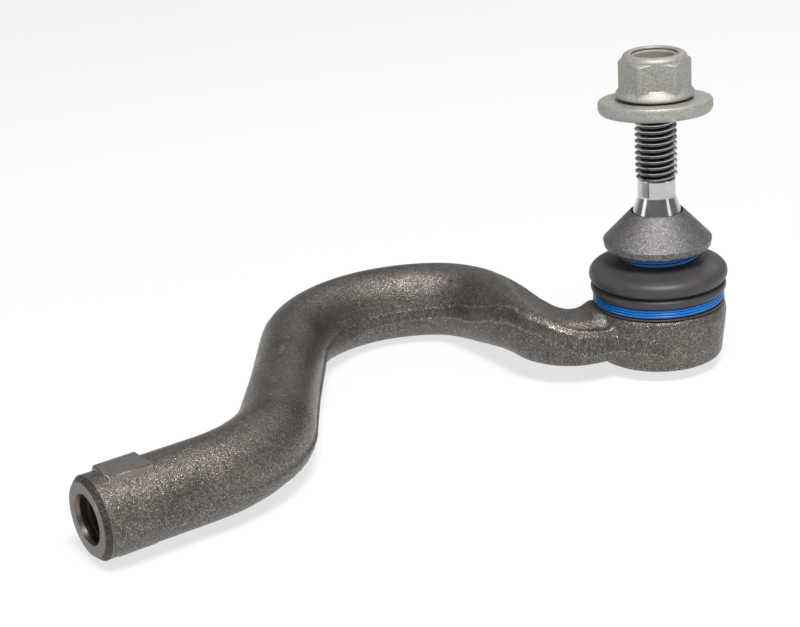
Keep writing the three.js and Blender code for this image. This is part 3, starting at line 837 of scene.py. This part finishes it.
def build_socket(sizes, colours):
    """The shank's machined end, its chamfers and its threaded bore."""
    machined = blasted(
        "machined_forging", (0.150, 0.145, 0.133), (0.205, 0.198, 0.182), metallic=0.85, grain_mm=0.3,
        rough=(0.36, 0.5), edge_wear_and_highlight=0.35, stain=0.5,
    )
    # painted shade: the chamfer is a darker copy of the forging's finish
    chamfered = blasted(
        "chamfer_painted_shade", toned(colours.forging_dark, 0.4), toned(colours.forging_light, 0.55),
        grain_mm=0.3, rough=(0.42, 0.6), edge_wear_and_highlight=0.0,
    )
    oiled = ground("oiled_socket_thread", (0.22, 0.175, 0.165), (0.30, 0.44), rings=False)
    start, end = SOCKET_THREAD
    pitch, depth = sizes.socket_pitch / MM, sizes.socket_thread_depth / MM

    def bore_radius(height, form):
        fade = eased(height, start, start + 0.9) * (1 - eased(height, end - 1.5, end))
        return SOCKET_MINOR_R + depth * (1 - form) * fade

    helix, helix_faces = thread_rows(start, end, pitch, bore_radius, SOCKET_AROUND)
    profile = soften(
        [(SOCKET_MINOR_R, end), (SOCKET_MINOR_R, 41.9), (3.0, 44.2, 0.3), (0.0, 45.0), (0.0, 46.0),
         (8.0, 43.5), (8.0, 2.3), (10.4, 2.3), (10.93, 1.75, 0.05), (10.96, 1.5, 0.08),
         (SHANK_FACE_R, 0.0, 0.08), (SOCKET_MOUTH_R, 0.0, 0.12), (SOCKET_MINOR_R, 1.2, 0.1),
         (SOCKET_MINOR_R, start)]
    )
    rows = turned_rows(profile, SOCKET_AROUND)
    faces = [tuple(f) for f in ring_faces(len(rows), SOCKET_AROUND, close_rows=False)]
    faces += [tuple(i + len(rows) * SOCKET_AROUND for i in f) for f in helix_faces]
    points = np.concatenate([rows.reshape(-1, 3), helix])
    points = np.stack([points[:, 2] + SHANK_END_X, points[:, 1], -points[:, 0]], axis=1)
    socket = new_piece("housing_socket_thread", points, faces, [machined, oiled, chamfered])
    for face in socket.data.polygons:
        face_r = math.hypot(face.center.y, face.center.z - PARTING_Z_M) / MM
        from_end = face.center.x / MM - SHANK_END_X
        if face_r < SOCKET_MOUTH_R - 0.12:
            face.material_index = 1
        elif face_r > SHANK_FACE_R + 0.1 and from_end < 1.42:
            face.material_index = 2
    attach(socket, "housing")


def pad_mesh(half_length, half_width, top, way):
    """Points and faces of one pad, from inside the shank out to its flat on the side that way gives."""
    made = bmesh.new()
    middle = SHANK_END_X + PAD_FROM_END
    rings = []
    for height, grow in ((PAD_ROOT, 2 * PAD_DRAFT), (top, 0.0)):
        length, width = half_length + grow, half_width + grow
        corners = [(-1, -1), (1, -1), (1, 1), (-1, 1)]
        rings.append([made.verts.new((middle + length * a, width * b, way * height)) for a, b in corners])
    made.faces.new(rings[0][::-1])
    made.faces.new(rings[1])
    for k in range(4):
        after = (k + 1) % 4
        made.faces.new((rings[0][k], rings[0][after], rings[1][after], rings[1][k]))
    bmesh.ops.bevel(made, geom=list(made.edges), offset=PAD_EDGE, segments=3, affect="EDGES")
    made.verts.index_update()
    points = [tuple(v.co) for v in made.verts]
    faces = [tuple(v.index for v in face.verts) for face in made.faces]
    made.free()
    return points, faces


def build_pads():
    """The two forged spanner pads on the shank, with drafted walls."""
    steel = bpy.data.materials["blasted_forging"]
    for name, way, half in (("housing_pad_upper", 1, PAD_HALF), ("housing_pad_lower", -1, LOWER_PAD_HALF)):
        points, faces = pad_mesh(*half, way)
        pad = new_piece(name, points, faces, steel, sharp_deg=60)
        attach(pad, "housing")


def build_closure():
    """The pressed closure plate and the lip that is rolled over its edge."""
    steel = blasted("closure_steel", (0.12, 0.116, 0.11), (0.30, 0.29, 0.275), grain_mm=0.45, stain=0.4)
    plate = soften(
        [(0, -8.9), (6.2, -8.9, 0.3), (6.8, -8.6, 0.3), (9.4, -8.6, 0.3), (10.0, -8.9, 0.3),
         (12.4, -8.9, 0.25), (12.4, -8.0, 0.1), (13.6, -8.0, 0.1), (13.6, -7.5, 0.1), (10.2, -7.5, 0.2),
         (9.2, -7.3, 0.2), (7.0, -7.3, 0.2), (6.0, -7.5, 0.2), (0, -7.5)]
    )
    closure = turned_piece("closure_cap", plate, steel)
    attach(closure, "housing")
    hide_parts("closure_plate")
    lip = soften(
        [(15.6, -8.0, 0.1), (15.3, -8.75, 0.35), (14.6, -8.88, 0.3), (12.75, -8.88, 0.2), (12.6, -8.5, 0.15),
         (12.6, -8.05, 0.1), (13.7, -8.05, 0.05), (13.7, -7.0), (15.6, -7.0)]
    )
    rolled = turned_piece("housing_rolled_lip", lip, bpy.data.materials["blasted_forging"])
    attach(rolled, "housing")


# ---- stud and cone ring --------------------------------------------------------------------------
BALL_R, BALL_Z, BALL_FLAT = 10.2, 4.6, 9.9
STUD_WAIST_R, STUD_SHAFT_R, THREAD_MAJOR_R = 5.9, 5.38, 5.94
THREAD_START, THREAD_END, STUD_TOP = 43.9, 75.0, 76.2
THREAD_ROOT_SHADE_R = (4.95, 5.75)  # from the thread's root, darkened with painted shade, to its bright flanks
STUD_AROUND = 96


def build_stud(sizes, colours):
    """The ball stud, polished up to its thread, and the rolled thread above."""
    bright = ground("ground_stud", colours.bright_steel)
    # the thread's roots get painted shade
    threaded = ground(
        "rolled_thread", toned(colours.bright_steel, 0.95), (0.16, 0.28), depth=0.01, root=THREAD_ROOT_SHADE_R
    )
    low = -math.asin(BALL_FLAT / BALL_R)
    high = math.acos(STUD_WAIST_R / BALL_R)
    ball = [(BALL_R * math.cos(a), BALL_Z + BALL_R * math.sin(a)) for a in np.linspace(low, high, 30)]
    body = soften(
        [(STUD_WAIST_R, 14.5, 0.8), (STUD_WAIST_R, 16.0, 0.5), (7.0, 18.4, 0.5), (7.0, 34.2, 0.35),
         (STUD_SHAFT_R, 39.1, 0.5), (STUD_SHAFT_R, 43.7, 0.1), (STUD_SHAFT_R, THREAD_START)]
    )[1:]
    lower = np.concatenate([[(0, BALL_Z - BALL_FLAT)], ball, body])
    tip = soften([(THREAD_MAJOR_R - 0.1, THREAD_END), (4.9, STUD_TOP - 0.1, 0.25), (0, STUD_TOP)])
    depth, pitch = sizes.stud_thread_depth / MM, sizes.stud_pitch / MM

    def radius(height, form):
        fade = eased(height, THREAD_START, THREAD_START + 1.3)
        root = THREAD_MAJOR_R - depth
        full = root + depth * form
        near_tip = eased(height, THREAD_END - 1.2, THREAD_END)
        full = full * (1 - near_tip) + (THREAD_MAJOR_R - 0.1) * near_tip
        return STUD_SHAFT_R * (1 - fade) + full * fade

    helix, helix_faces = thread_rows(THREAD_START, THREAD_END, pitch, radius, STUD_AROUND)
    points, faces = [], []
    start = 0
    for profile in (lower, tip):
        rows = turned_rows(profile, STUD_AROUND)
        points.append(rows.reshape(-1, 3))
        faces += [tuple(i + start for i in f) for f in ring_faces(len(rows), STUD_AROUND, close_rows=False)]
        start += len(rows) * STUD_AROUND
    points.append(helix)
    faces += [tuple(i + start for i in f) for f in helix_faces]
    stud = new_piece("stud_with_thread", np.concatenate(points), faces, [bright, threaded], sharp_deg=42)
    for face in stud.data.polygons:
        if face.center.z > PARTING_Z_M + (THREAD_START + 0.15) * MM:
            face.material_index = 1
    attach(stud, "stud")
    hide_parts("ball_stud")


def build_cone_ring(colours):
    """The forged cone ring pressed on the stud."""
    # edges lighter at full strength: rubbed wear and a painted edge highlight
    steel = blasted(
        "blasted_cone_ring", colours.collar_dark, colours.collar_light, metallic=0.8, grain_mm=0.3,
        rough=(0.34, 0.52), edge_wear_and_highlight=1.0, stain=0.25,
    )
    profile = soften(
        [(7.02, 19.3), (9.8, 19.3, 0.3), (10.2, 19.8, 0.2), (10.2, 23.4, 0.3), (14.0, 23.4, 0.3),
         (15.2, 24.35, 0.25), (15.5, 26.25, 0.09), (7.95, 34.2, 0.25), (7.65, 34.5, 0.15),
         (7.4, 34.5, 0.1), (7.3, 33.6, 0.1), (7.02, 33.2)]
    )
    cone = turned_piece("cone_ring_forged", profile, steel, 160)
    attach(cone, "stud")
    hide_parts("cone_ring")


# ---- boot and rings ------------------------------------------------------------------------------
BOOT_SEAM_Z = 16.0
BOOT_AROUND = 160


def build_boot(colours):
    """The moulded boot: its lower fold up to the lobe's widest line, and the lobe's crown up to the neck."""
    skin = moulded_rubber("boot_rubber", colours.rubber)
    foot = soften(
        [(17.06, 7.42, 0.2), (18.95, 7.42, 0.25), (18.95, 7.95, 0.2), (18.02, 8.0, 0.1), (18.02, 10.75, 0.2),
         (18.85, 10.9, 0.25)]
    )[:-3]
    fold = flowing(
        [(18.8, 10.95), (19.28, 11.45), (19.45, 12.2), (19.2, 13.0), (18.5, 13.6), (18.05, 13.85),
         (18.45, 14.08), (19.15, 14.4), (19.6, 14.9), (19.8, 15.4), (19.85, BOOT_SEAM_Z)]
    )
    inside = flowing(
        [(18.45, BOOT_SEAM_Z), (18.2, 15.0), (17.4, 14.2), (16.1, 13.3), (16.9, 12.6), (17.45, 12.1),
         (17.45, 11.2)]
    )
    lower = turned_piece(
        "boot_lower_fold", np.concatenate([foot, fold, inside, [(17.06, 10.85)]]), skin, BOOT_AROUND
    )
    crown = flowing(
        [(19.85, BOOT_SEAM_Z), (19.75, 16.7), (19.4, 17.4), (18.75, 18.05), (17.6, 18.62), (15.4, 19.25),
         (13.2, 19.95), (12.2, 20.3), (11.35, 20.62)]
    )
    neck = soften([(11.02, 20.75, 0.2), (11.02, 23.05, 0.3), (10.26, 23.1, 0.2), (10.26, 19.6, 0.3)])
    under = flowing(
        [(10.6, 19.35), (13.5, 18.5), (16.4, 17.6), (17.7, 17.1), (18.3, 16.6), (18.45, BOOT_SEAM_Z)]
    )
    upper = turned_piece("boot_crown", np.concatenate([crown, neck, under]), skin, BOOT_AROUND)
    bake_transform(lower)
    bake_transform(upper)
    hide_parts("dust_boot")
    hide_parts("dust_boot")


COIL_STEPS, WIRE_SIDES = 96, 12
WIRE_END_SCALES = (0.15, 0.65, 0.9)  # the wire's thickness over its first steps from each end


def coil_piece(name, coil_r, low_z, turns, pitch, wire_r, first_angle, material):
    """A coil of round wire about the axis, with rounded ends."""
    steps = int(turns * COIL_STEPS)
    t = np.linspace(0, 1, steps + 1)
    scale = np.ones(steps + 1)
    for i, s in enumerate(WIRE_END_SCALES):
        scale[i] = scale[-1 - i] = s
    angle = first_angle + t * turns * TAU
    height = low_z + pitch * t * turns
    ring = np.arange(WIRE_SIDES) / WIRE_SIDES * TAU
    radial = coil_r + wire_r * scale[:, None] * np.cos(ring)[None]
    points = np.stack(
        [radial * np.cos(angle)[:, None], radial * np.sin(angle)[:, None],
         height[:, None] + wire_r * scale[:, None] * np.sin(ring)[None]],
        axis=2,
    )
    faces = [tuple(f) for f in ring_faces(steps + 1, WIRE_SIDES, close_rows=False)]
    last = range(steps * WIRE_SIDES, (steps + 1) * WIRE_SIDES)
    faces += [tuple(range(WIRE_SIDES)), tuple(last)[::-1]]
    return new_piece(name, points.reshape(-1, 3), faces, material, sharp_deg=60)


def build_rings(sizes, colours):
    """The two coiled wire rings that hold the boot."""
    blue = coated_wire("coated_ring_wire", colours.ring_blue)
    wire = sizes.ring_wire / MM / 2
    low = coil_piece("boot_lower_ring", 18.5, 8.4, 2.7, 0.84, wire, 1.6, blue)
    high = coil_piece("boot_upper_ring", 11.48, 21.4, 1.8, 0.92, wire, -2.98, blue)
    for piece, body, node in (
        (low, "housing", "lower_retaining_ring"), (high, "boot_neck", "upper_retaining_ring"),
    ):
        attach(piece, body)
        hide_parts(node)


# ---- nut, washer and insert ----------------------------------------------------------------------
HEX_FLAT, HEX_TURN = 9.0, math.radians(22.3)
HEX_CORNER_SPREAD = 0.035  # radians over which a corner is softened
NUT_AROUND = 288
SKIRT_R, SKIRT_FLARE, SKIRT_TOP = 9.3, 1.45, 71.2  # the flange's slope up to the hexagon
CHAMFER_R, CHAMFER_TOP, CHAMFER_SLOPE = 9.06, 78.8, 1.73  # the 30 degree chamfer above the hexagon
CROWN_R, CROWN_WIDE, CROWN_BASE, CROWN_TALL = 7.35, 1.72, 78.95, 1.45  # the crown's rounded shoulder
NUT_FOOT = [
    (6.3, 64.0, 0.2), (8.3, 64.0, 0.2), (8.5, 64.6, 0.2), (7.6, 65.1, 0.2), (7.6, 68.3, 0.15),
    (10.5, 68.3, 0.2), (11.1, 68.7, 0.4), (11.0, 69.25, 0.3), (10.75, 69.45),
]
NUT_MOUTH = [
    (6.75, 80.4, 0.2), (6.42, 80.15, 0.2), (6.42, 79.7, 0.1), (7.6, 79.55, 0.15), (7.6, 77.0, 0.1),
    (6.0, 77.0, 0.1), (6.0, 64.4, 0.1),
]
WASHER_LEDGE = 65.5
NEAR_SIDE = (-0.5519, -0.8339)  # the side that the washer's raised edge is on


def build_washer(sizes, colours):
    """The captive washer, thick-rimmed and hanging a little over."""
    coat = plated("zinc_flake_washer", colours.plating_dark, colours.plating_light)
    profile = soften(
        [(9.1, 63.1, 0.25), (15.0, 63.1, 0.9), (16.05, 64.3, 0.9), (16.05, 66.5, 0.35), (15.7, 67.1, 0.35),
         (8.2, 67.1, 0.2), (7.9, 66.8, 0.15), (7.9, WASHER_LEDGE, 0.1), (9.1, WASHER_LEDGE, 0.15)]
    )
    washer = turned_piece("washer_plated", profile, coat, 160)
    pivot = Vector((0, 0, PARTING_Z_M + (WASHER_LEDGE + 0.8) * MM))
    axis = Vector((NEAR_SIDE[1], -NEAR_SIDE[0], 0))
    tip = Matrix.Translation(pivot) @ Matrix.Rotation(sizes.washer_tip, 4, axis) @ Matrix.Translation(-pivot)
    washer.data.transform(tip)
    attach(washer, "washer")
    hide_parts("captive_washer")


def hex_radius(angle, corner):
    """Radius of the hex with softened corners."""
    off = (angle - HEX_TURN + math.pi / 6) % (math.pi / 3) - math.pi / 6
    flat = HEX_FLAT / np.cos(math.pi / 6 - np.abs(off))
    return flat - corner * np.exp(-((np.abs(off) / HEX_CORNER_SPREAD) ** 1.5))


def nut_rows(sizes):
    """Rows of the nut from its bore, round the outside and back into the insert's pocket."""
    angle = np.arange(NUT_AROUND) / NUT_AROUND * TAU
    hexagon = hex_radius(angle, sizes.hex_corner / MM)
    rows = []

    def ring(radius, height):
        rows.append(np.stack([radius * np.cos(angle), radius * np.sin(angle), height + 0 * angle], axis=1))

    for r, z in soften(NUT_FOOT):
        ring(r + 0 * angle, z)
    for z in np.linspace(69.55, 72.0, 13):
        skirt = SKIRT_R + SKIRT_FLARE * np.clip((SKIRT_TOP - z) / 1.65, 0, 1) ** 1.35
        skirt = np.where(z > SKIRT_TOP, 0.0, skirt)
        ring(-joined(-hexagon, -skirt + 0 * angle, 0.45), z)
    for z in np.concatenate([np.linspace(72.4, 75.6, 7), np.linspace(76.0, 78.9, 36)]):
        cone = CHAMFER_R + max(CHAMFER_TOP - z, 0) * CHAMFER_SLOPE + 0 * angle
        ring(joined(hexagon, cone, 0.12), z)
    for a in np.linspace(0.08, 1.0, 10):
        bend = a * math.pi / 2
        ring(CROWN_R + CROWN_WIDE * math.cos(bend) + 0 * angle, CROWN_BASE + CROWN_TALL * math.sin(bend))
    for r, z in soften(NUT_MOUTH):
        ring(r + 0 * angle, z)
    return np.array(rows)


def build_nut(sizes, colours):
    """The flanged lock nut."""
    coat = plated("zinc_flake_nut", colours.plating_dark, colours.plating_light)
    rows = nut_rows(sizes)
    nut = new_piece("lock_nut", rows.reshape(-1, 3), ring_faces(len(rows), NUT_AROUND), coat, sharp_deg=50)
    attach(nut, "nut")
    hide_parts("nut_body")


def build_insert(colours):
    """The nut's locking insert."""
    plastic = moulded_plastic("insert_nylon", colours.insert)
    profile = soften(
        [(6.05, 77.05, 0.1), (7.55, 77.05, 0.1), (7.55, 79.48, 0.3), (6.3, 79.48, 0.3), (6.05, 79.1, 0.2)]
    )
    insert = turned_piece("locking_insert", profile, plastic, 96)
    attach(insert, "nut")
    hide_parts("nut_locking_insert")


def finish_inner_pieces(colours):
    """Finishes for the CAD pieces inside the joint, which keep their own meshes."""
    finishes = {
        "ball_seat": moulded_plastic("seat_acetal", colours.seat),
        "pressure_pad": moulded_plastic("pad_nylon", (0.05, 0.053, 0.058)),
        "preload_spring": ground("spring_steel_lay", (0.38, 0.39, 0.41), (0.28, 0.42)),
    }
    for node, material in finishes.items():
        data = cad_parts[node].data
        data.materials.clear()
        data.materials.append(material)


# ---- camera and stage ----------------------------------------------------------------------------
CAMERA_PLACE_M = (-0.3464, -0.3872, 0.2165)
CAMERA_AZIMUTH, CAMERA_ELEVATION, CAMERA_ROLL = -33.5, 21.2, -3.97
LENS_MM, SENSOR_MM = 85.5, 36.0
FLOOR_HALF_M, FLOOR_GAP_M = 6.0, 0.0006
LIGHT_AIM_M = (-0.06, 0.02, 0.03)
# Name, place and size in metres, power in watts.
SOFT_BOXES = (
    ("overhead_box", (-0.20, -0.40, 1.05), (0.40, 0.40), 15.5),
    ("left_box", (-1.15, 0.45, 0.25), (0.35, 1.5), 3.0),
    ("right_box", (0.45, -1.10, 0.15), (0.30, 1.3), 1.8),
    ("back_box", (0.9, 0.7, 0.9), (0.6, 0.6), 2.0),
)
SURROUND_STRENGTH = 0.22


def build_camera():
    """A camera with a long lens, a little above the part and slightly rolled."""
    a, e = math.radians(CAMERA_AZIMUTH), math.radians(CAMERA_ELEVATION)
    back = Vector((math.sin(a) * math.cos(e), -math.cos(a) * math.cos(e), math.sin(e)))
    right = Vector((math.cos(a), math.sin(a), 0))
    up = back.cross(right)
    basis = Matrix((right, up, back)).transposed() @ Matrix.Rotation(math.radians(CAMERA_ROLL), 3, "Z")
    camera = bpy.data.cameras.new("main_camera")
    camera.lens, camera.sensor_width = LENS_MM, SENSOR_MM
    camera.clip_start, camera.clip_end = 0.01, 50
    made = bpy.data.objects.new("main_camera", camera)
    made.matrix_world = Matrix.Translation(CAMERA_PLACE_M) @ basis.to_4x4()
    bpy.context.scene.collection.objects.link(made)
    bpy.context.scene.camera = made


def softbox(name, place, aim, size, power):
    """A rectangular soft light aimed at a point."""
    light = bpy.data.lights.new(name, "AREA")
    light.shape = "RECTANGLE"
    light.size, light.size_y = size
    light.energy = power
    made = bpy.data.objects.new(name, light)
    made.location = place
    made.rotation_mode = "QUATERNION"
    made.rotation_quaternion = (Vector(aim) - Vector(place)).to_track_quat("-Z", "Y")
    bpy.context.scene.collection.objects.link(made)


def build_stage(colours):
    """A wide pale floor just under the part, soft boxes and an even surround."""
    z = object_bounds()[0].z - FLOOR_GAP_M
    half = FLOOR_HALF_M
    mesh = bpy.data.meshes.new("stage_floor")
    corners = [(-half, -half, z), (half, -half, z), (half, half, z), (-half, half, z)]
    mesh.from_pydata(corners, [], [(0, 1, 2, 3)])
    mesh.materials.append(plain_stage("stage_paper", colours.floor))
    floor = bpy.data.objects.new("stage_floor", mesh)
    bpy.context.scene.collection.objects.link(floor)
    floor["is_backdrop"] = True
    for name, place, size, power in SOFT_BOXES:
        softbox(name, place, LIGHT_AIM_M, size, power)
    world = bpy.data.worlds.new("surround")
    world.use_nodes = True
    background = world.node_tree.nodes["Background"]
    background.inputs["Color"].default_value = (1, 1, 1, 1)
    background.inputs["Strength"].default_value = SURROUND_STRENGTH
    bpy.context.scene.world = world
    bpy.context.scene.view_settings.view_transform = "Standard"


# ---- operators -----------------------------------------------------------------------------------
def settings(context):
    """The sizes and the colours that the panel shows."""
    return context.scene.tie_rod_sizes, context.scene.tie_rod_colours


class TIEROD_OT_camera(bpy.types.Operator):
    """Place the camera"""

    bl_idname = "tie_rod.camera"
    bl_label = "Camera"

    def execute(self, context):
        build_camera()
        return {"FINISHED"}


class TIEROD_OT_housing(bpy.types.Operator):
    """Build the forged housing with its threaded socket and spanner pads"""

    bl_idname = "tie_rod.housing"
    bl_label = "Housing"

    def execute(self, context):
        build_forging(*settings(context))
        build_socket(*settings(context))
        build_pads()
        return {"FINISHED"}


class TIEROD_OT_closure(bpy.types.Operator):
    """Build the closure plate and the rolled lip"""

    bl_idname = "tie_rod.closure"
    bl_label = "Closure plate"

    def execute(self, context):
        build_closure()
        return {"FINISHED"}


class TIEROD_OT_inner(bpy.types.Operator):
    """Finish the seat, pad and spring inside the joint"""

    bl_idname = "tie_rod.inner"
    bl_label = "Seat, pad and spring"

    def execute(self, context):
        finish_inner_pieces(context.scene.tie_rod_colours)
        return {"FINISHED"}


class TIEROD_OT_stud(bpy.types.Operator):
    """Build the ball stud with its thread"""

    bl_idname = "tie_rod.stud"
    bl_label = "Ball stud"

    def execute(self, context):
        build_stud(*settings(context))
        return {"FINISHED"}


class TIEROD_OT_cone_ring(bpy.types.Operator):
    """Build the cone ring"""

    bl_idname = "tie_rod.cone_ring"
    bl_label = "Cone ring"

    def execute(self, context):
        build_cone_ring(context.scene.tie_rod_colours)
        return {"FINISHED"}


class TIEROD_OT_boot(bpy.types.Operator):
    """Build the rubber boot"""

    bl_idname = "tie_rod.boot"
    bl_label = "Boot"

    def execute(self, context):
        build_boot(context.scene.tie_rod_colours)
        return {"FINISHED"}


class TIEROD_OT_rings(bpy.types.Operator):
    """Build the boot's two wire rings"""

    bl_idname = "tie_rod.rings"
    bl_label = "Boot rings"

    def execute(self, context):
        build_rings(*settings(context))
        return {"FINISHED"}


class TIEROD_OT_washer(bpy.types.Operator):
    """Build the captive washer"""

    bl_idname = "tie_rod.washer"
    bl_label = "Washer"

    def execute(self, context):
        build_washer(*settings(context))
        return {"FINISHED"}


class TIEROD_OT_nut(bpy.types.Operator):
    """Build the lock nut and its insert"""

    bl_idname = "tie_rod.nut"
    bl_label = "Lock nut"

    def execute(self, context):
        build_nut(*settings(context))
        build_insert(context.scene.tie_rod_colours)
        return {"FINISHED"}


class TIEROD_OT_stage(bpy.types.Operator):
    """Build the floor, lights and surround"""

    bl_idname = "tie_rod.stage"
    bl_label = "Stage"

    def execute(self, context):
        build_stage(context.scene.tie_rod_colours)
        return {"FINISHED"}


OPERATORS = (
    TIEROD_OT_camera,
    TIEROD_OT_housing,
    TIEROD_OT_closure,
    TIEROD_OT_inner,
    TIEROD_OT_stud,
    TIEROD_OT_cone_ring,
    TIEROD_OT_boot,
    TIEROD_OT_rings,
    TIEROD_OT_washer,
    TIEROD_OT_nut,
    TIEROD_OT_stage,
)


class TIEROD_PT_panel(bpy.types.Panel):
    """Lists the part's pieces with their sizes and colours"""

    bl_label = "Tie Rod End"
    bl_idname = "TIEROD_PT_panel"
    bl_space_type = "VIEW_3D"
    bl_region_type = "UI"
    bl_category = "Tie Rod"

    def draw(self, context):
        for operator in OPERATORS:
            self.layout.operator(operator.bl_idname)
        for group in settings(context):
            box = self.layout.box()
            for name in group.__annotations__:
                box.prop(group, name)


CLASSES = (TieRodSizes, TieRodColours, *OPERATORS, TIEROD_PT_panel)


def register():
    """Adds the classes and the scene's two groups of properties."""
    for one in CLASSES:
        bpy.utils.register_class(one)
    bpy.types.Scene.tie_rod_sizes = PointerProperty(type=TieRodSizes)
    bpy.types.Scene.tie_rod_colours = PointerProperty(type=TieRodColours)


def unregister():
    """Takes them away again."""
    del bpy.types.Scene.tie_rod_colours
    del bpy.types.Scene.tie_rod_sizes
    for one in reversed(CLASSES):
        bpy.utils.unregister_class(one)


def main():
    """Registers the add-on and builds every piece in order."""
    register()
    for operator in OPERATORS:
        group, name = operator.bl_idname.split(".")
        getattr(getattr(bpy.ops, group), name)()


if __name__ == "__main__":
    main()
